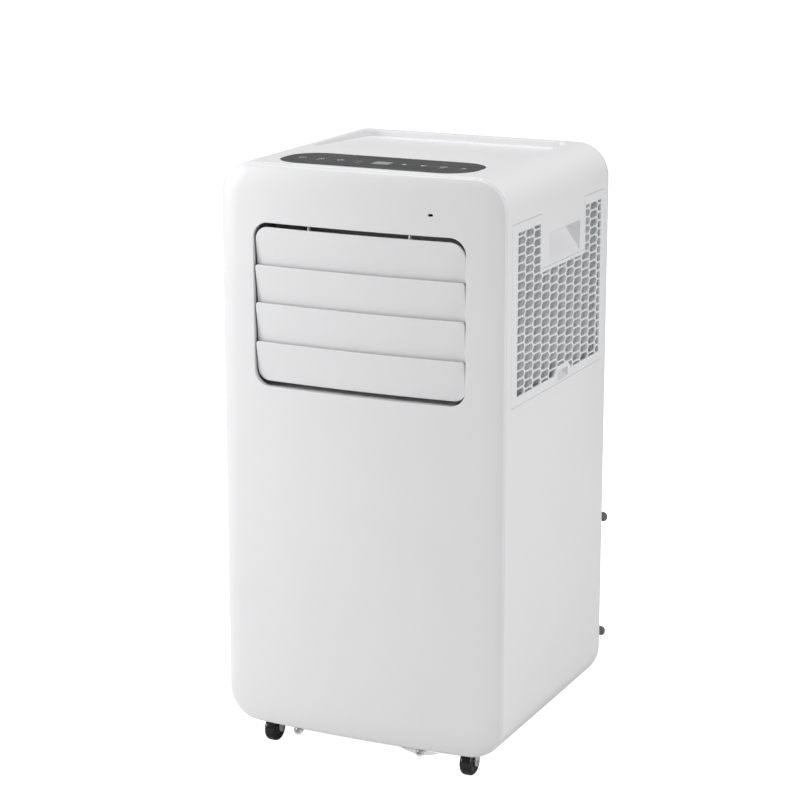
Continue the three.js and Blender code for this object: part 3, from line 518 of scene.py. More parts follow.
# knitted filter net: round threads both ways, open between them
def openNet(name, look):
    material, bench, shader, place = startFinish(name)
    _, along, up = bench.axes(place)
    wobble = (bench.noise(place, 9, detail=2) - 0.5) * look['wobble']
    threads = [bench.maths('PINGPONG', value / (look['pitch'] * mm) + wobble, 0.5) for value in (along, up)]
    nearest = bench.maths('MINIMUM', *threads)
    threadCrownAndShade = bench.limited(1 - nearest / look['thread'])
    fluff = bench.limited((bench.noise(place, 26, detail=5) - 0.5) * 4)
    # each thread is lighter along its crown and darker at its sides: painted shade across the round threads,
    # the same mask also giving the crown's height for the bump
    tone = bench.colourMix(fluff * 0.6 + threadCrownAndShade * 0.3, look['shade'], look['tint'])
    setFinish(bench, shader, tone, 0.65 + 0.2 * fluff, threadCrownAndShade, 0.15, alpha=nearest < look['thread'])
    return material


# printed circuit board: lacquer over darker tracks
def trackBoard(name, look):
    material, bench, shader, place = startFinish(name, constants={'Coat Weight': 0.5, 'Coat Roughness': 0.2})
    tracks = bench.cells(place, 7)
    mask = bench.limited(1 - tracks * 14)
    grain = bench.noise(place, 1.2, detail=3)
    tone = bench.colourMix(mask, look['shade'], look['tint'])
    setFinish(bench, shader, tone, 0.35 + 0.25 * grain, mask, 0.04)
    return material


# polished nylon tyre: fine turning lines, scuffed where it rolls
def rollingTread(name, look):
    material, bench, shader, place = startFinish(name, constants={'Specular IOR Level': 0.3})
    lines = bench.noise(place, 0.8, detail=2, stretch=(6, 0.4, 0.4))
    scuff = bench.limited((bench.noise(place, 2.4, detail=5, stretch=(0.4, 1, 1)) - 0.52) * 5)
    tone = bench.colourMix(scuff * 0.2, look['shade'], look['tint'])
    bench.feed(shader.inputs['Coat Weight'], 0.5 - 0.4 * scuff)
    setFinish(bench, shader, tone, 0.16 + 0.08 * lines + 0.15 * scuff, lines, 0.02)
    return material


plasticLooks = {
    'white_plastic': {'shade': (0.80, 0.80, 0.812), 'tint': (0.84, 0.84, 0.848), 'roughness': (0.3, 0.42),
                      'grain': 0.7, 'relief': 0.016, 'drift': 160, 'dustTop': 70, 'dust': 0.12},
    'slat_plastic': {'shade': (0.79, 0.79, 0.802), 'tint': (0.83, 0.83, 0.838), 'roughness': (0.32, 0.44),
                     'grain': 0.6, 'relief': 0.014, 'drift': 110, 'dustTop': 1, 'dust': 0.0},
    'duct_grey': {'shade': (0.23, 0.232, 0.237), 'tint': (0.3, 0.302, 0.307), 'roughness': (0.5, 0.68),
                  'grain': 0.9, 'relief': 0.05, 'drift': 60, 'dustTop': 420, 'dust': 0.25},
    'inner_plastic': {'shade': (0.5, 0.5, 0.505), 'tint': (0.62, 0.62, 0.625), 'roughness': (0.5, 0.7),
                      'grain': 1.1, 'relief': 0.05, 'drift': 80, 'dustTop': 700, 'dust': 0.2},
    'grey_rubber': {'shade': (0.16, 0.16, 0.165), 'tint': (0.21, 0.21, 0.215), 'roughness': (0.5, 0.72),
                    'grain': 0.6, 'relief': 0.05, 'drift': 18, 'dustTop': 300, 'dust': 0.3},
    'black_nylon': {'shade': (0.015, 0.015, 0.016), 'tint': (0.03, 0.03, 0.031), 'roughness': (0.4, 0.58),
                    'grain': 0.5, 'relief': 0.03, 'drift': 14, 'dustTop': 120, 'dust': 0.2},
    'fork_grey': {'shade': (0.62, 0.62, 0.63), 'tint': (0.7, 0.7, 0.71), 'roughness': (0.34, 0.5),
                  'grain': 0.5, 'relief': 0.03, 'drift': 10, 'dustTop': 36, 'dust': 0.35},
    'receiver_lens': {'shade': (0.001, 0.001, 0.001), 'tint': (0.003, 0.002, 0.003),
                      'roughness': (0.08, 0.16), 'grain': 0.4, 'relief': 0.004, 'drift': 5,
                      'dustTop': 1, 'dust': 0.0, 'constants': {'Specular IOR Level': 0.15}},
}
metalLooks = {
    'motor_steel': {'shade': (0.36, 0.36, 0.37), 'tint': (0.55, 0.55, 0.56), 'roughness': (0.28, 0.5),
                    'line': 1.5, 'stretch': (0.15, 3, 1), 'blotch': 9, 'relief': 0.02,
                    'stain': 0.4, 'stainTone': (0.3, 0.28, 0.25)},
    'coil_fins': {'shade': (0.6, 0.66, 0.67), 'tint': (0.8, 0.84, 0.84), 'roughness': (0.42, 0.6),
                  'line': 2.2, 'stretch': (3, 1, 0.3), 'blotch': 24, 'relief': 0.05, 'metallic': 0.35,
                  'stain': 0.35, 'stainTone': (0.3, 0.42, 0.42)},
    'copper_pipe': {'shade': (0.55, 0.24, 0.12), 'tint': (0.75, 0.38, 0.22), 'roughness': (0.25, 0.42),
                    'line': 1.2, 'stretch': (0.4, 0.4, 2), 'blotch': 12, 'relief': 0.02,
                    'stain': 0.6, 'stainTone': (0.2, 0.09, 0.05)},
    'screw_steel': {'shade': (0.42, 0.42, 0.43), 'tint': (0.62, 0.62, 0.64), 'roughness': (0.25, 0.42),
                    'line': 0.4, 'stretch': (2, 0.5, 2), 'blotch': 2, 'relief': 0.01,
                    'stain': 0.3, 'stainTone': (0.3, 0.27, 0.2)},
}
finishes = {name: mouldedPlastic(name, look) for name, look in plasticLooks.items()}
finishes.update({name: linedMetal(name, look) for name, look in metalLooks.items()})
finishes['panel_gloss'] = glossLens('panel_gloss', {
    'shade': (0.02, 0.02, 0.022), 'tint': (0.028, 0.028, 0.03), 'roughness': 0.22})
finishes['display_lens'] = rasterLens('display_lens', {
    'shade': (0.28, 0.285, 0.285), 'tint': (0.4, 0.405, 0.4), 'pitch': 0.9})
finishes['black_paint'] = sprayedPaint('black_paint', {
    'shade': (0.01, 0.01, 0.011), 'tint': (0.02, 0.02, 0.021), 'peel': 2.5})
finishes['filter_net'] = openNet('filter_net', {
    'shade': (0.5, 0.525, 0.53), 'tint': (0.64, 0.66, 0.665), 'pitch': 1.3, 'thread': 0.33, 'wobble': 0.2})
finishes['board'] = trackBoard('board', {'shade': (0.03, 0.16, 0.07), 'tint': (0.015, 0.09, 0.04)})
finishes['wheel_black'] = rollingTread('wheel_black', {
    'shade': (0.002, 0.002, 0.002), 'tint': (0.03, 0.029, 0.027)})
finishes['icon_print'] = mouldedPlastic('icon_print', {
    'shade': (0.5, 0.5, 0.51), 'tint': (0.58, 0.58, 0.59), 'roughness': (0.35, 0.5),
    'grain': 0.3, 'relief': 0.002, 'drift': 4, 'dustTop': 1, 'dust': 0.0})
print('finishes ready:', len(finishes))


# casing
def faceY(x):    # the bowed front, before its edges roll back
    return casing['front'] + casing['bow'] * (x / casing['halfWidth']) ** 2


def casingRing(inset, across=1, up=1):
    w, steps = casing['halfWidth'] - inset, casing['cornerSteps']
    return roundedOutline(-w, w, casing['bottom'] + inset, casing['top'] - inset, casing['corner'] - inset,
                          steps, across, up)


louvreMouth = {'halfWidth': 132, 'low': 446, 'high': 636.3, 'radius': 19,
               'flange': 1.6, 'flangeBack': -168.5}
receiver = {'x': 90.6, 'z': 660, 'halfLength': 3.0, 'halfHeight': 1.5, 'gap': 0.2}


def receiverOutline(inset):
    x, z = receiver['x'], receiver['z']
    w, h = receiver['halfLength'] - inset, receiver['halfHeight'] - inset
    return roundedOutline(x - w, x + w, z - h, z + h, h - 0.05, 6)


def buildFrontCover():
    shape = {
        'lip': 0.8,                          # rounding round the louvre mouth
        'rollStart': 27, 'rollEnd': 1,       # insets where the edge starts and stops rolling back
        'rollDrop': 5.2, 'rollPower': 2.2, 'rollSteps': 16,
        'fieldSteps': 14,
    }
    wall, seam = casing['wall'], casing['seam']
    mesh = {'across': 24, 'up': 8}

    def ring(inset, drop):
        return [(x, faceY(x) + drop, z) for x, z in casingRing(inset, **mesh)]

    def mouth(grown, drop):
        w, r = louvreMouth['halfWidth'] + grown, louvreMouth['radius'] + grown
        outline = roundedOutline(-w, w, louvreMouth['low'] - grown, louvreMouth['high'] + grown, r,
                                 casing['cornerSteps'], **mesh)
        return [(x, faceY(x) + drop, z) for x, z in outline]

    def flange(grown):    # the mouth's return, which runs straight back
        return [(x, louvreMouth['flangeBack'], z) for x, _, z in mouth(grown, 0)]

    lip, flangeWall = shape['lip'], louvreMouth['flange']
    loops = [mouth(flangeWall, wall), flange(flangeWall), flange(0), mouth(0, wall)]
    for turn in (0, 30, 60, 90):
        rise, run = math.sin(math.radians(turn)), math.cos(math.radians(turn))
        loops.append(mouth(lip * (1 - run), lip * (1 - rise)))
    near, far = mouth(lip + 4, 0), ring(shape['rollStart'] + 2, 0)
    for i in range(shape['fieldSteps'] + 1):
        share = i / shape['fieldSteps']
        flat = [(a[0] + (b[0] - a[0]) * share, a[2] + (b[2] - a[2]) * share)
                for a, b in zip(near, far)]
        loops.append([(x, faceY(x), z) for x, z in flat])
    rollWidth = shape['rollStart'] - shape['rollEnd']
    for i in range(shape['rollSteps'] + 1):
        turn = math.pi / 2 * i / shape['rollSteps']
        reach, fall = math.sin(turn) ** (2 / shape['rollPower']), 1 - math.cos(turn)
        loops.append(ring(shape['rollStart'] - rollWidth * reach, shape['rollDrop'] * fall))
    edge = shape['rollEnd']
    for inset in (edge, edge + wall):
        loops.append([(x, seam, z) for x, _, z in ring(inset, 0)])
    loops += [ring(edge + 3 * wall, 2 * wall - 0.6), ring(shape['rollStart'] + wall, wall),
              mouth(lip + 4, wall)]
    cover = meshObject('frontCover', [skin(loops, wrap=True)])
    carve(cover, prism(receiverOutline(0), 'y', casing['front'] - 5, seam + 5))
    finishPiece(cover, 'white_plastic', replaced=['front_cover'])


def buildReceiver():
    face = faceY(receiver['x'])
    lens = softSlab(lambda inset: receiverOutline(receiver['gap'] + inset), 'y', face + 0.5, face + 6, 0.4)
    finishPiece(meshObject('receiverLens', [lens]), 'receiver_lens', replaced=['receiver_window'])


panelShape = {'halfWidth': boxOf('control_panel')[1].x, 'front': boxOf('control_panel')[0].y,
              'back': boxOf('control_panel')[1].y, 'radius': 36}
trayShape = {'halfWidth': boxOf('top_tray')[1].x, 'front': boxOf('top_tray')[0].y,
             'back': boxOf('top_tray')[1].y, 'radius': 16, 'shallow': 1.2, 'deep': 8, 'under': 11}
pocket = {'front': -43, 'back': 51, 'low': 591, 'high': 625.5, 'depth': 24}
filterShape = {'front': -150.5, 'back': 130, 'low': 443.5, 'high': 651,
               'handleFront': -65, 'handleBack': 65, 'handleLow': 588}
castorPlaces = ('front_left', 'front_right', 'rear_left', 'rear_right')
castor = {'radius': 16, 'half': 7.5, 'trail': 5, 'tread': 4.5, 'cheek': 1.9, 'bridgeTop': 34.4,
          'sweep': 23.2, 'sweepTop': 38}


def topOutline(shape, inset, steps):    # the panel's or the tray's outline in the top
    return roundedOutline(-shape['halfWidth'] + inset, shape['halfWidth'] - inset, shape['front'] + inset,
                          shape['back'] - inset, shape['radius'] - inset, steps)


def pocketWedge(margin, side):    # deepest under its upper lip
    face = casing['halfWidth']
    slope = pocket['depth'] / (pocket['high'] - pocket['low'])
    reach = -0.4 if margin else 1
    drop = margin * 1.8 if margin else reach / slope
    outline = [(face + reach, pocket['low'] - drop), (face + reach, pocket['high'] + margin),
               (face - pocket['depth'] - margin * 1.2, pocket['high'] + margin)]
    return prism([(side * x, z) for x, z in outline], 'y', pocket['front'] - margin, pocket['back'] + margin)


def filterOutline(gap):    # a rectangle that leaves out the handle
    f = filterShape
    return [(f['front'] + gap, f['low'] + gap), (f['back'] - gap, f['low'] + gap),
            (f['back'] - gap, f['high'] - gap), (f['handleBack'] + gap, f['high'] - gap),
            (f['handleBack'] + gap, f['handleLow'] - gap), (f['handleFront'] - gap, f['handleLow'] - gap),
            (f['handleFront'] - gap, f['high'] - gap), (f['front'] + gap, f['high'] - gap)]


def stemCentre(place):    # a wheel trails in front of its castor's stem
    low, high = boxOf('castor_wheel_' + place)
    return (low.x + high.x) / 2, (low.y + high.y) / 2 + castor['trail'], 0


def castorSweeps():    # the room that each castor turns in
    return [rod('z', castor['sweep'], casing['bottom'] - 10, castor['sweepTop'], stemCentre(place), 48,
                soft=0.01) for place in castorPlaces]


def buildBodyWrap():
    seam, back, fillet = casing['seam'] + casing['gap'], casing['back'], casing['rearFillet']
    wall, steps = casing['wall'], 14
    quarter = [math.pi / 2 * i / 4 for i in range(5)]
    section = [(2 * (1 - math.sin(t)), seam + 2.25 * (1 - math.cos(t))) for t in quarter]
    section += [(0, back - fillet - 3)]
    section += [(fillet - u, v) for u, v in arc(0, back - fillet, fillet, 0, 90, steps)]
    section += [(fillet - u, v) for u, v in arc(0, back - fillet, fillet - wall, 90, 0, steps)]
    section += [(wall, back - fillet - 3), (wall, seam)]
    turn = 3 * (casing['cornerSteps'] + 1)     # the run starts at the lower right corner
    rings = [casingRing(inset) for inset, _ in section]
    rings = [ring[turn:] + ring[:turn] for ring in rings]
    loops = [[(rings[j][i][0], section[j][1], rings[j][i][1]) for j in range(len(section))]
             for i in range(len(rings[0]))]
    wrap = meshObject('bodyWrap', [skin(loops, caps='face')])
    carve(wrap, pocketWedge(wall, 1), pocketWedge(wall, -1), operation='UNION')
    top, gap, w = casing['top'], casing['gap'], casing['halfWidth']
    panelHole, trayHole = topOutline(panelShape, -gap, 16), topOutline(trayShape, -gap, 10)
    carve(wrap, pocketWedge(0, 1), pocketWedge(0, -1), prism(filterOutline(0), 'x', w - 8, w + 5),
          prism(filterOutline(0), 'x', -w - 5, 8 - w), prism(panelHole, 'z', top - 10, top + 5),
          prism(trayHole, 'z', top - 12, top + 5), *castorSweeps())
    softenEdges(wrap, 0.4)
    finishPiece(wrap, 'white_plastic', replaced=['body_wrap'], sharp=50)


def buildTopTray():
    t, top = trayShape, casing['top'] - 0.2
    rims = [(0, t['under']), (0, 0.6), (0.18, 0.18), (0.6, 0)]     # inset, drop from the top
    falls = [(1.0, 0), (1.45, 0.05), (1.75, 0.2), (2.1, 0.7), (2.7, 0.88), (3.6, 0.97), (5, 1)]

    def depth(y):
        return t['shallow'] + (t['deep'] - t['shallow']) * (y - t['front']) / (t['back'] - t['front'])

    loops = [[(x, y, top - drop) for x, y in topOutline(t, inset, 12)] for inset, drop in rims]
    loops += [[(x, y, top - share * depth(y)) for x, y in topOutline(t, inset, 12)]
              for inset, share in falls]
    finishPiece(meshObject('topTray', [skin(loops, caps='face')]), 'white_plastic', replaced=['top_tray'])


lugs = {'xs': (-82.5, 76), 'y': -172.5, 'z': 29, 'radius': 5.6}


def buildBaseTray():
    shape = {'floor': 38, 'floorThick': 3, 'bumpHalf': 24, 'bumpDrop': 5, 'stem': 4.6}
    side = casing['halfWidth'] - casing['corner'] - 0.4
    front, back, bottom = casing['seam'] + 0.5, casing['back'] - 0.3, casing['bottom']
    wall, floor = casing['wall'], shape['floor']
    y, z, r = lugs['y'], lugs['z'], lugs['radius']
    tray = fuse('baseTray', block(-side, side, front, back, floor, floor + shape['floorThick']),
                block(-side, side, back - wall, back, floor, bottom + casing['rearFillet'] - 0.1))
    skirt = meshObject('skirt', [block(-side, side, front, back, bottom + 0.2, floor + 1)])
    carve(skirt, block(-side + wall, side - wall, front + wall, back - wall, bottom - 5, floor + 0.5))
    carve(tray, skirt, operation='UNION')
    for centre in lugs['xs']:
        tab = arc(centre, z, r, 180, 360, 16) + [(centre + r, bottom - 0.4), (centre - r, bottom - 0.4)]
        ring = meshObject('ring', [lathe([(2.4, y), (3.8, y), (4.1, y - 0.5), (5.0, y - 0.5), (5.3, y),
                                          (5.3, y + 1), (2.4, y + 1)], 'y', (centre, 0, z), 32)])
        carve(ring, block(centre - 10, centre + 10, y - 5, y + 5, bottom - 0.4, bottom + 10))
        carve(tray, prism(tab, 'y', y, y + 2.5),
              block(centre - r, centre + r, y, front + wall, bottom - 2.8, bottom - 0.4),
              block(centre - r, centre + r, front, front + wall, bottom - 2.8, floor), ring,
              operation='UNION')
    radius = (shape['bumpHalf'] ** 2 + shape['bumpDrop'] ** 2) / (2 * shape['bumpDrop'])
    half = math.degrees(math.asin(shape['bumpHalf'] / radius))
    bump = arc(lugs['xs'][1], bottom - 0.4 - shape['bumpDrop'] + radius, radius, 270 - half, 270 + half, 24)
    carve(tray, prism(bump, 'y', y + 0.6, y + 2.5), operation='UNION')
    stems = [rod('z', shape['stem'], floor - 5, floor + 8, stemCentre(place), 24, soft=0.01)
             for place in castorPlaces]
    holes = [rod('y', 2, y - 5, y + 5, (centre, 0, z), 20, soft=0.01) for centre in lugs['xs']]
    carve(tray, *castorSweeps(), *stems, *holes)
    softenEdges(tray, 0.35)
    finishPiece(tray, 'white_plastic', replaced=['base_tray'], sharp=50)


rearFittings = {
    'collar': {'z': 375, 'outer': 65, 'bore': 58}, 'drain': {'x': -60, 'z': 72, 'radius': 9},
    'gland': {'x': 100, 'z': 72, 'radius': 8}, 'hookZ': (80, 230),
}


def buildRearCover():
    shape = {'low': 92, 'pitch': 17, 'slot': 8, 'rows': 12, 'inner': 4, 'outer': 112}
    back = casing['back'] - 0.3
    front = back - casing['wall']
    inset = casing['rearFillet'] + casing['gap']
    plate = meshObject('rearCover', [prism(casingRing(inset), 'y', front, back)])
    slot = meshObject('slotTool', [prism(roundedOutline(shape['inner'], shape['outer'], shape['low'],
                                                        shape['low'] + shape['slot'], 3.9, 6),
                                         'y', front - 5, back + 5)])
    cutter = meshObject('slotGrid', [block(0, 1, 0, 1, 0, 1)])
    grow(cutter, trees['grid'], {
        'Unit': slot, 'Columns': 2, 'Rows': shape['rows'], 'Finish': finishes['white_plastic'],
        'Column Step': (-(shape['inner'] + shape['outer']) * mm, 0, 0),
        'Row Step': (0, 0, shape['pitch'] * mm)})
    bpy.data.objects.remove(slot)
    collar, drain, gland = (rearFittings[name] for name in ('collar', 'drain', 'gland'))
    carve(plate, cutter,
          rod('y', collar['outer'] + 0.5, front - 5, back + 5, (0, 0, collar['z']), 64, soft=0.01),
          rod('y', gland['radius'] + 0.4, front - 5, back + 5, (gland['x'], 0, gland['z']), 32, soft=0.01),
          rod('y', drain['radius'] + 0.4, front - 5, back + 5, (drain['x'], 0, drain['z']), 32, soft=0.01))
    softenEdges(plate, 0.5)
    finishPiece(plate, 'white_plastic', replaced=['rear_cover'], sharp=50)


def crossScrew(name, radius, height):    # pan head, pointing to -Y, with a cross recess
    profile = [(0, -height), (radius * 0.55, -height * 0.93), (radius * 0.85, -height * 0.62),
               (radius, -height * 0.15), (radius, 0), (0, 0)]
    head = meshObject(name, [lathe(profile, 'y', (0, 0, 0), 32, ring=False)])
    arm, width = radius * 0.62, radius * 0.14
    for a, b in ((arm, width), (width, arm)):
        carve(head, block(-a, a, -height - 1, -height * 0.35, -b, b))
    return head


def buildScrews():
    screws = {'lugY': lugs['y'] - 0.3, 'rearY': casing['back'] - 0.35, 'rearX': 128,
              'sideZs': (68, 190, 330, 470, 640), 'middleZs': (66, 664)}
    lugScrew = crossScrew('lugScrewUnit', 3.0, 1.6)
    points = meshObject('lugScrews', [([(x, screws['lugY'], lugs['z']) for x in lugs['xs']], [])])
    grow(points, trees['spots'], {'Unit': lugScrew, 'Turn': 0.5, 'Finish': finishes['screw_steel']})
    finishPiece(points, 'screw_steel', replaced=['lug_screw_left', 'lug_screw_right'])
    rearScrew = crossScrew('rearScrewUnit', 3.2, 1.4)
    for vertex in rearScrew.data.vertices:    # the heads look backwards here
        vertex.co.y = -vertex.co.y
    tidyMesh(rearScrew.data)
    spots = [(side * screws['rearX'], screws['rearY'], z) for side in (-1, 1) for z in screws['sideZs']]
    spots += [(0, screws['rearY'], z) for z in screws['middleZs']]
    rear = meshObject('rearScrews', [(spots, [])])
    grow(rear, trees['spots'], {'Unit': rearScrew, 'Turn': 0.7, 'Finish': finishes['screw_steel']})
    finishPiece(rear, 'screw_steel')
    for unit in (lugScrew, rearScrew):
        bpy.data.objects.remove(unit)


# controls
def buildPanel():
    p, top = panelShape, casing['top'] - 0.2
    middle = (p['front'] + p['back']) / 2
    window = {'x': 11, 'y': 10}
    plate = meshObject('controlPanel', [softSlab(lambda inset: topOutline(p, inset, 20),
                                                 'z', top - 2.2, top, 0.5)])
    carve(plate, prism(roundedOutline(-window['x'], window['x'], middle - window['y'], middle + window['y'],
                                      1.5, 6), 'z', top - 6, top + 5))
    finishPiece(plate, 'panel_gloss', replaced=['control_panel'])
    x, y = window['x'] - 0.25, window['y'] - 0.25
    lens = softSlab(lambda inset: roundedOutline(-x + inset, x - inset, middle - y + inset,
                                                 middle + y - inset, 1.3 - inset, 6),
                    'z', top - 2, top - 0.15, 0.3)
    finishPiece(meshObject('displayLens', [lens]), 'display_lens', replaced=['display_window'])


def stroke(points, width, z0, z1):    # a flat line of print along points, square ends
    parts = []
    for (x0, y0), (x1, y1) in zip(points, points[1:]):
        length = math.hypot(x1 - x0, y1 - y0)
        u, v = -(y1 - y0) / length * width / 2, (x1 - x0) / length * width / 2
        bar = [(x0 - u, y0 - v), (x1 - u, y1 - v), (x1 + u, y1 + v), (x0 + u, y0 + v)]
        parts.append(prism(bar, 'z', z0, z1))
    return parts


def ringStroke(cx, cy, radius, start, end, width, z0, z1, steps=20):    # a ring or part of one
    outer, inner = (arc(cx, cy, radius + side * width / 2, start, end, steps) for side in (1, -1))
    if end - start >= 360:
        edges = ((outer, z0), (outer, z1), (inner, z1), (inner, z0))
        return skin([placed(line[:-1], 'z', z) for line, z in edges], wrap=True)
    return prism(outer + inner[::-1], 'z', z0, z1)


def buildIcons():
    keys = {'xs': (-101, -76.3, -52, -27.8, 27.8, 52, 76.3, 101), 'line': 0.95, 'radius': 3.6}
    middle = (panelShape['front'] + panelShape['back']) / 2
    z0, z1 = casing['top'] - 0.22, casing['top'] - 0.12
    line, r = keys['line'], keys['radius']

    def at(x, *points):
        return stroke([(x + u, middle + v) for u, v in points], line, z0, z1)

    power, speed, clock, minus, drop, night, boost, swing = keys['xs']
    parts = [ringStroke(power, middle, r, 120, 420, line, z0, z1)] + at(power, (0, 0.6), (0, 3.8))
    for turn in (90, 210, 330):
        out = 0.45 * r
        u, v = out * math.cos(math.radians(turn)), out * math.sin(math.radians(turn))
        parts += at(speed, (0, 0), *arc(u, v, 0.5 * r, turn - 90, turn + 90, 6))
    parts += [ringStroke(clock, middle, r, 0, 360, line, z0, z1)] + at(clock, (0, 1.8), (0, 0), (1.4, -0.6))
    parts += at(minus, (-3.4, 0), (3.4, 0))
    tear = [(drop, middle + 4.2)] + [(drop + u, middle + v) for u, v in arc(0, -1, 2.5, 150, 390, 16)]
    parts.append(prism(tear, 'z', z0, z1))
    parts += [ringStroke(boost, middle, r, 0, 360, line, z0, z1)] + at(boost, (-1.6, 0), (1.6, 0))
    parts += at(boost, (0, 0.5), (0, 1.7)) + at(boost, (0, -0.5), (0, -1.7))
    moon = [(night + u, middle + v) for u, v in arc(0, 0, r, 40, 320, 18)]
    moon += [(night + u, middle + v) for u, v in arc(1.4, 0, 2.3, 300, 60, 12)]
    parts.append(prism(moon, 'z', z0, z1))
    for v in (-1.6, 0.0, 1.6):
        wave = [(-2.8 + 5.6 * i / 10, v + 0.5 * math.sin(2 * math.pi * i / 10)) for i in range(11)]
        parts += at(swing, *wave)
    for x in (speed, minus, boost, swing):    # status marks in front of some keys
        parts += stroke([(x - 3, middle - 9), (x + 3, middle - 9)], 0.7, z0, z1)
    finishPiece(meshObject('panelPrint', parts), 'panel_gloss', sharp=30, weighted=False)
    print('panel print has', len(parts), 'strokes')


def buildDisplayDigits():
    digit = {'halfWidth': 2.6, 'halfHeight': 4.6, 'bar': 1.0, 'gap': 0.35, 'spread': 4.6}
    middle = (panelShape['front'] + panelShape['back']) / 2
    z0, z1 = casing['top'] - 0.38, casing['top'] - 0.3
    w, h, gap = digit['halfWidth'], digit['halfHeight'], digit['gap']
    bars = [((-w + gap, h), (w - gap, h)), ((-w + gap, 0), (w - gap, 0)), ((-w + gap, -h), (w - gap, -h))]
    bars += [((side * w, low + gap), (side * w, low + h - gap)) for side in (-1, 1) for low in (0, -h)]
    parts = []
    for x in (-digit['spread'], digit['spread']):
        for first, last in bars:
            parts += stroke([(x + first[0], middle + first[1]), (x + last[0], middle + last[1])],
                            digit['bar'], z0, z1)
    finishPiece(meshObject('displayDigits', parts), 'display_lens', sharp=30, weighted=False)


# louvres
slats = {
    'tops': (631.3, 586.9, 543.1, 497.7), 'overlap': 3, 'lean': 6, 'thick': 2.4, 'rim': 1.1,
    'pivotY': -157, 'link': (-116, 16, -20), 'halfWidth': louvreMouth['halfWidth'] - 1.5, 'corner': 4,
    'stopFins': (-60.5, 64.5), 'finHalf': 0.6, 'earX': 128, 'earHalf': 1.3, 'pinX': 131.5, 'pinHalf': 4.5,
}


def buildSlat(i):    # counted from the top
    s, tops = slats, slats['tops']
    top = tops[i]
    bottom = tops[i + 1] - s['overlap'] if i < 3 else louvreMouth['low'] + 5
    pivot, rim, thick, half = (top + bottom) / 2, s['rim'], s['thick'], s['halfWidth']
    upper = louvreMouth['radius'] - 1.5 if i == 0 else s['corner']
    lower = louvreMouth['radius'] - 5 if i == 3 else s['corner']

    def blade(inset, drop):
        outline = roundedOutline(-half + inset, half - inset, bottom + inset, top - inset,
                                 (upper - inset, upper - inset, lower - inset, lower - inset), 8, across=24)
        return [(x, faceY(x) + 0.5 + drop + s['lean'] * (top - z) / (top - bottom), z) for x, z in outline]

    turns = [math.pi / 2 * k / 4 for k in range(5)]
    loops = [blade(rim + 3, 0)]
    loops += [blade(rim * (1 - math.sin(t)), rim * (1 - math.cos(t))) for t in turns]
    loops += [blade(rim * (1 - math.sin(t)), thick - rim * (1 - math.cos(t))) for t in reversed(turns)]
    parts = [skin(loops, caps='strips')]

    def backY(x, z):
        return faceY(x) + 0.5 + thick / 2 + s['lean'] * (top - z) / (top - bottom)

    pivotY, (linkX, linkY, linkZ) = s['pivotY'], s['link']
    for x in (-s['earX'], s['earX']):
        ear = [(backY(x, pivot + 10), pivot + 10), (pivotY + 3, pivot + 2.4),
               (pivotY + 3, pivot - 2.4), (backY(x, pivot - 10), pivot - 10)]
        parts.append(prism(ear, 'x', x - s['earHalf'], x + s['earHalf']))
    parts += [rod('x', 2.4, x - s['pinHalf'], x + s['pinHalf'], (0, pivotY, pivot), 20, 0.3)
              for x in (-s['pinX'], s['pinX'])]
    pinY, pinZ = pivotY + linkY, pivot + linkZ
    crank = [(backY(linkX, pivot + 4), pivot + 4), (backY(linkX, pivot - 16), pivot - 16),
             (pinY - 1, pinZ - 3), (pinY + 3, pinZ), (pinY + 1, pinZ + 3)]
    parts += [prism(crank, 'x', linkX - 2.4, linkX),
              rod('x', 1.8, linkX - 1, linkX + 5, (0, pinY, pinZ), 16, 0.3)]
    if i == 0:
        parts += [softSlab(lambda inset: roundedOutline(backY(x, top) + inset, backY(x, top) + 6 - inset,
                                                        top - 8 + inset, top + 4 - inset, 1.5 - inset, 4),
                           'x', x - s['finHalf'], x + s['finHalf'], 0.2) for x in s['stopFins']]
    finishPiece(meshObject(f'louvre{i + 1}', parts), 'slat_plastic', body=f'louver_{i + 1}',
                replaced=[f'louver_{i + 1}'])


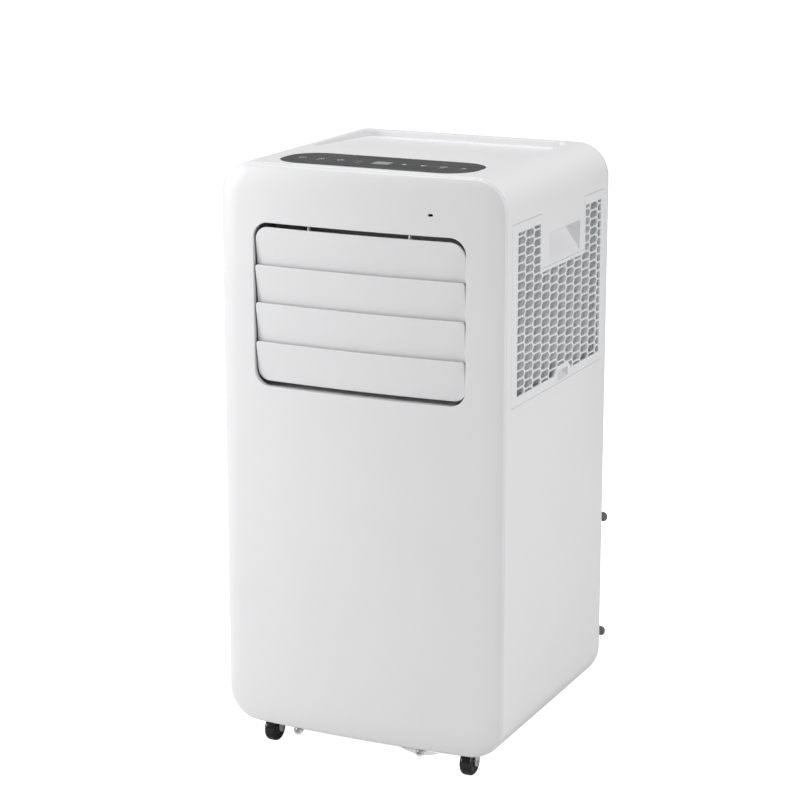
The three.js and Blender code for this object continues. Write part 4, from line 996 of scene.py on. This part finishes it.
# filters
def buildFilters():
    cell = {'point': 12.4, 'flat': 9.6, 'half': 4.05, 'round': 1.3, 'pitchY': 24.7, 'pitchZ': 10.11,
            'firstY': -125.5, 'firstZ': 640.385, 'columns': 11, 'rows': 20}
    field = {'front': -134.3, 'back': 119.8, 'low': 454.5, 'high': 640, 'edge': 4.5,
             'notchY': 3.45, 'notchTop': 464, 'notchHalf': 17, 'notchFoot': 27}
    f, face, notchY = filterShape, casing['halfWidth'], field['notchY']
    corners = [(cell['point'], 0), (cell['flat'], cell['half']), (-cell['flat'], cell['half']),
               (-cell['point'], 0), (-cell['flat'], -cell['half']), (cell['flat'], -cell['half'])]
    outline = []
    for i, corner in enumerate(corners):    # each corner is cut back twice, which rounds it
        before, after = Vector(corners[i - 1]), Vector(corners[(i + 1) % 6])
        here = Vector(corner)
        into = (here - before).normalized() * cell['round']
        out = (after - here).normalized() * cell['round']
        outline += [tuple(here - into), tuple(here - (into - out) * 0.22), tuple(here + out)]
    loops = []
    for x, grown in ((-6, 0), (0.62, 0), (0.86, 0.1), (1, 0.3), (6, 0.3)):    # the hole is eased at the face
        wide, tall = 1 + grown / cell['point'], 1 + grown / cell['half']
        loops.append(placed([(u * wide, v * tall) for u, v in outline], 'x', x))
    unit = meshObject('cellUnit', [skin(loops, caps='face')])
    edge, top = field['edge'], field['high']
    handleBack, handleFront = f['handleBack'] + edge, f['handleFront'] - edge
    handleLow = f['handleLow'] - edge
    openArea = [(field['front'], field['low']), (notchY - field['notchFoot'], field['low']),
                (notchY - field['notchHalf'], field['notchTop']),
                (notchY + field['notchHalf'], field['notchTop']),
                (notchY + field['notchFoot'], field['low']), (field['back'], field['low']),
                (field['back'], top), (handleBack, top), (handleBack, handleLow), (handleFront, handleLow),
                (handleFront, top), (field['front'], top)]
    area = meshObject('openArea', [prism(openArea, 'x', face - 20, face + 20)])
    plate = meshObject('filterFrameRight', [softSlab(lambda inset: filterOutline(casing['gap'] + inset),
                                                     'x', face - 2.4, face, 0.3)])
    grow(plate, trees['perforation'], {
        'Cell': unit, 'Field': area, 'Columns': cell['columns'], 'Rows': cell['rows'],
        'Column Pitch': cell['pitchY'] * mm, 'Row Pitch': cell['pitchZ'] * mm,
        'First': ((face - 1) * mm, cell['firstY'] * mm, cell['firstZ'] * mm),
        'Finish': finishes['white_plastic']})
    for tool in (unit, area):
        bpy.data.objects.remove(tool)
    rim = meshObject('rim', [prism(filterOutline(2), 'x', face - 9, face - 2)])
    carve(rim, prism(filterOutline(3.8), 'x', face - 15, face + 5))
    cup = meshObject('cup', [block(face - 10.5, face - 2, notchY - 19, notchY + 19, f['low'] + 2,
                                   field['notchTop'] - 1)])
    carve(plate, rim, cup, operation='UNION')
    scoop = [(face + 1, f['low'] + 2.4), (face + 1, f['low'] + 14.2), (face - 8.6, f['low'] + 14.2),
             (face - 8.6, f['low'] + 10)]    # a fingertip's notch, deepest at its top
    carve(plate, skin([[(x, notchY + side, z) for x, z in scoop] for side in (-16.5, 16.5)], caps='face'))
    splitFaces(plate)
    left = mirroredCopy(plate, 'filterFrameLeft')
    for piece, side in ((plate, 'right'), (left, 'left')):
        finishPiece(piece, 'white_plastic', body=f'filter_{side}', replaced=[f'filter_frame_{side}'])
    print('filter frame has', len(plate.data.polygons), 'faces')


# coils
fins = {'pitch': 2.4, 'thick': 0.35, 'tubeRadius': 3.6, 'tubePitch': 25}
coils = {    # where the lowest tube lies, and how far its two rows lie inside the fins
    'evaporator_right': {'stack': 'evaporatorFins_right', 'tubes': 'evaporatorTubes_right',
                         'along': 1, 'lowest': 12, 'inset': 8},
    'evaporator_left': {'stack': 'evaporatorFins_left', 'tubes': 'evaporatorTubes_left',
                        'along': 1, 'lowest': 12, 'inset': 8},
    'condenser': {'stack': 'condenserFins', 'tubes': 'condenserTubes', 'along': 0, 'lowest': 14, 'inset': 9},
}


def buildCoils():
    for node, coil in coils.items():
        along, across = coil['along'], 1 - coil['along']
        low, high = (list(corner) for corner in boxOf(node))
        first, last = low[:], high[:]
        first[along] += 2
        last[along] = first[along] + fins['thick']
        fin = meshObject('finUnit', [block(*[end for ends in zip(first, last) for end in ends])])
        stack = meshObject(coil['stack'], [block(0, 1, 0, 1, 0, 1)])
        step = [0, 0, 0]
        step[along] = fins['pitch'] * mm
        grow(stack, trees['grid'], {
            'Unit': fin, 'Columns': int((high[along] - low[along] - 4) / fins['pitch']), 'Rows': 1,
            'Finish': finishes['coil_fins'], 'Column Step': tuple(step), 'Row Step': (0, 0, 0)})
        finishPiece(stack, 'coil_fins', replaced=[node], weighted=False)
        tubes = []
        for row in range(int((high[2] - low[2]) / fins['tubePitch'])):
            for place in (low[across] + coil['inset'], high[across] - coil['inset']):
                centre = [0, 0, low[2] + coil['lowest'] + row * fins['tubePitch']]
                centre[across] = place
                tubes.append(rod('xy'[along], fins['tubeRadius'], low[along], high[along], centre, 12))
        finishPiece(meshObject(coil['tubes'], tubes), 'copper_pipe')
        bpy.data.objects.remove(fin)


# rear fittings
def buildRearFittings():
    back, (low, high) = casing['back'], boxOf('exhaust_collar')
    c = rearFittings['collar']
    outer, bore = c['outer'], c['bore']
    profile = [(bore, low.y), (outer - 0.6, low.y), (outer, low.y + 0.6), (outer, back), (outer + 5.4, back),
               (outer + 6, back + 0.6), (outer + 6, back + 1.6), (outer + 5.4, back + 2.2),
               (outer + 0.8, back + 2.2), (outer, back + 3), (outer, high.y - 1.2), (outer - 1.2, high.y),
               (bore + 1, high.y), (bore, high.y - 1)]
    finishPiece(meshObject('exhaustCollar', [lathe(profile, 'y', (0, 0, c['z']), 96)]), 'duct_grey',
                replaced=['exhaust_collar'])
    for z, name in zip(rearFittings['hookZ'], ('lower', 'upper')):
        hookLow, hookHigh = boxOf(f'cord_hook_{name}')

        def flange(inset):
            return roundedOutline(134 + inset, 172 - inset, z - 6 + inset, z + 6 - inset,
                                  tuple(r - inset for r in (5, 3, 3, 5)), 6)

        def stem(inset):
            return roundedOutline(138 + inset, 146 - inset, z - 4 + inset, z + 4 - inset, 1.5 - inset, 4)

        hook = fuse(f'cordHook_{name}', softSlab(flange, 'y', hookHigh.y - 3.5, hookHigh.y, 1.1),
                    softSlab(stem, 'y', hookLow.y, hookHigh.y - 1.5, 0.3))
        finishPiece(hook, 'grey_rubber', replaced=[f'cord_hook_{name}'])
    d = rearFittings['drain']
    x, z, r = d['x'], d['z'], d['radius']
    spout = [(r - 3, back - 22), (r, back - 22), (r, back), (r + 2.6, back), (r + 3, back + 0.4),
             (r + 3, back + 1.6), (r + 2.6, back + 2), (r + 0.3, back + 2), (r, back + 2.4), (r, back + 7.4),
             (r - 0.6, back + 8), (r - 3, back + 8)]
    finishPiece(meshObject('drainSpout', [lathe(spout, 'y', (x, 0, z), 48)]), 'inner_plastic',
                replaced=['drain_spout'])
    end = back + 12
    plug = [(0, back - 2), (r - 4, back - 2), (r - 3.4, back - 1.2), (r - 3.4, back + 8.4),
            (r + 0.7, back + 8.4), (r + 1.5, back + 9.2), (r + 1.5, end - 1), (r + 0.5, end), (0, end)]
    grip = softSlab(lambda inset: roundedOutline(x - 2 + inset, x + 2 - inset, z - r + inset, z + r - inset,
                                                 1.8 - inset, 5), 'y', end - 1, back + 13.8, 0.6)
    finishPiece(meshObject('drainPlug', [lathe(plug, 'y', (x, 0, z), 48, ring=False), grip]), 'grey_rubber',
                body='drain_plug', replaced=['drain_plug'])
    g = rearFittings['gland']
    x, z, r = g['x'], g['z'], g['radius']
    gland = [(3.8, back - 8), (r, back - 8), (r, back), (r + 2.6, back), (r + 3, back + 0.4),
             (r + 3, back + 1.6), (r + 2.6, back + 2), (r - 0.4, back + 2)]
    for rib in range(3):
        start = back + 2.6 + 1.5 * rib
        gland += [(r - 0.8, start), (r, start + 0.3), (r, start + 0.8), (r - 0.8, start + 1.1)]
    gland += [(r - 1.2, back + 7), (4.4, back + 7), (3.8, back + 6.4)]
    finishPiece(meshObject('cordGland', [lathe(gland, 'y', (x, 0, z), 40)]), 'black_nylon',
                replaced=['cord_gland'])


# castors
def buildCastors():
    radius, half, trail, tread = (castor[name] for name in ('radius', 'half', 'trail', 'tread'))
    for place in castorPlaces:
        stemAt = stemCentre(place)
        x, y = stemAt[0], stemAt[1] - trail
        centre = (x, y, radius)
        rim = [(2.2, -half + 0.6), (4.6, -half + 0.6), (5.0, -half), (5.6, -half), (6.2, -half + 0.9),
               (9.6, -half + 0.9), (10.2, -half)]
        rim += [(u, v) for u, v in arc(radius - tread, -half + tread, tread, 270, 360, 8)]
        profile = rim + [(u, -v) for u, v in reversed(rim)]
        wheel = meshObject(f'castorWheel_{place}', [lathe(profile, 'x', centre, 64)])
        finishPiece(wheel, 'wheel_black', body=f'wheel_{place}', replaced=[f'castor_wheel_{place}'])
        inner = half + 0.6
        outer, top = inner + castor['cheek'], castor['bridgeTop']
        cheek = [(-4.5, top), (-4.5, 16)] + arc(0, radius, 4.5, 180, 360, 10)[1:-1]
        cheek += [(4.5, 16), (trail + 5, top - 3.4), (trail + 5, top)]
        arms = [skin([[(x + side * at, y + u, v) for u, v in cheek] for at in (inner, outer)], caps='face')
                for side in (-1, 1)]
        bridge = block(x - outer, x + outer, y - 4.5, y + trail + 5, radius * 2 + 0.9, top)
        fork = fuse(f'castorFork_{place}', bridge, *arms, rod('z', 9.6, top - 0.5, 37.5, stemAt, 32),
                    rod('z', 4, top, 45, stemAt, 20))
        carve(fork, rod('x', 2.2, x - 20, x + 20, (0, y, radius), 20, soft=0.01))
        softenEdges(fork, 0.3, limit=45)
        finishPiece(fork, 'fork_grey', body=f'swivel_{place}', replaced=[f'castor_fork_{place}'], sharp=50)
        tip = half + 4
        rivet = [(0, -tip), (1.6, -tip), (2.6, -tip + 0.5), (2.9, -tip + 1.2), (1.7, -tip + 1.25)]
        axleProfile = rivet + [(u, -v) for u, v in reversed(rivet)]
        axle = meshObject(f'castorAxle_{place}', [lathe(axleProfile, 'x', centre, 32, ring=False)])
        finishPiece(axle, 'screw_steel', body=f'swivel_{place}', replaced=[f'castor_axle_{place}'])


# build
for stage, work in (('front cover', buildFrontCover), ('receiver', buildReceiver),
                    ('body wrap', buildBodyWrap), ('top tray', buildTopTray),
                    ('base tray', buildBaseTray), ('rear cover', buildRearCover),
                    ('screws', buildScrews), ('panel', buildPanel), ('icons', buildIcons),
                    ('digits', buildDisplayDigits), ('filters', buildFilters), ('coils', buildCoils),
                    ('rear fittings', buildRearFittings), ('castors', buildCastors)):
    work()
    print('built', stage)
for number in range(4):
    buildSlat(number)
print('built louvres')

bpy.data.objects['panelPrint'].data.materials[0] = finishes['icon_print']
slotOf = {row['node']: row['material_slot'] for row in frame['record']['subparts']}
for node, piece in frame['nodes'].items():    # inner pieces that keep their own shape
    piece.data.materials.clear()
    piece.data.materials.append(finishes[slotOf[node]])
print('inner pieces coated')


# studio
studio = {'backdrop': 1.0, 'ambient': 0.34, 'paper': 0.72, 'paperGlow': 1.0, 'reach': 60}


def whiteForCamera(bench, dim):    # full brightness where the backdrop itself is seen
    seen = bench.add('ShaderNodeLightPath', out='Is Camera Ray')
    return dim + (studio['backdrop'] - dim) * seen


world = bpy.data.worlds.new('studio')
bpy.context.scene.world = world
world.use_nodes = True
worldBench = Bench(world.node_tree)
backdrop = world.node_tree.nodes['Background']
backdrop.inputs['Color'].default_value = (1, 1, 1, 1)
worldBench.feed(backdrop.inputs['Strength'], whiteForCamera(worldBench, studio['ambient']))

reach = studio['reach']
floorMesh = bpy.data.meshes.new('floor')
floorMesh.from_pydata([(-reach, -reach, 0), (reach, -reach, 0), (reach, reach, 0), (-reach, reach, 0)],
                      [], [(0, 1, 2, 3)])
floor = bpy.data.objects.new('floor', floorMesh)
bpy.context.scene.collection.objects.link(floor)
paper = bpy.data.materials.new('paperFloor')
paper.use_nodes = True
paperBench, sheet = Bench(paper.node_tree), paper.node_tree.nodes['Principled BSDF']
sheet.inputs['Base Color'].default_value = (studio['paper'],) * 3 + (1,)
sheet.inputs['Roughness'].default_value = 0.9
sheet.inputs['Specular IOR Level'].default_value = 0.0
sheet.inputs['Emission Color'].default_value = (1, 1, 1, 1)
seenOnly = paperBench.add('ShaderNodeLightPath', out='Is Camera Ray')
paperBench.feed(sheet.inputs['Emission Strength'], seenOnly * studio['paperGlow'])
floorMesh.materials.append(paper)


def addSoftbox(name, place, aim, size, power):
    data = bpy.data.lights.new(name, 'AREA')
    data.shape = 'RECTANGLE'
    data.size, data.size_y = size
    data.energy = power
    lamp = bpy.data.objects.new(name, data)
    lamp.location = place
    lamp.rotation_euler = (Vector(aim) - Vector(place)).to_track_quat('-Z', 'Y').to_euler()
    bpy.context.scene.collection.objects.link(lamp)


middle = (0, 0, 0.36)
softboxes = {    # place and size in metres, power in watts
    'keyLeft': {'place': (-1.85, -1.45, 0.9), 'size': (1.0, 1.2), 'power': 34},
    'rightSide': {'place': (1.5, -0.2, 0.7), 'size': (0.6, 1.4), 'power': 9.3},
    'overhead': {'place': (-0.3, 0.2, 2.8), 'size': (2.0, 2.0), 'power': 38},
}
for name, box in softboxes.items():
    addSoftbox(name, box['place'], middle, box['size'], box['power'])

camera = {'place': (1.20894, -2.625, 1.12599), 'pitch': 75.94, 'turn': 25.26, 'lens': 112.13}
cameraData = bpy.data.cameras.new('camera')
cameraData.lens = camera['lens']
cameraData.sensor_width = 36
viewer = bpy.data.objects.new('camera', cameraData)
viewer.location = camera['place']
viewer.rotation_euler = (math.radians(camera['pitch']), 0, math.radians(camera['turn']))
bpy.context.scene.collection.objects.link(viewer)
bpy.context.scene.camera = viewer
bpy.context.scene.view_settings.view_transform = 'Standard'

print('scene ready')
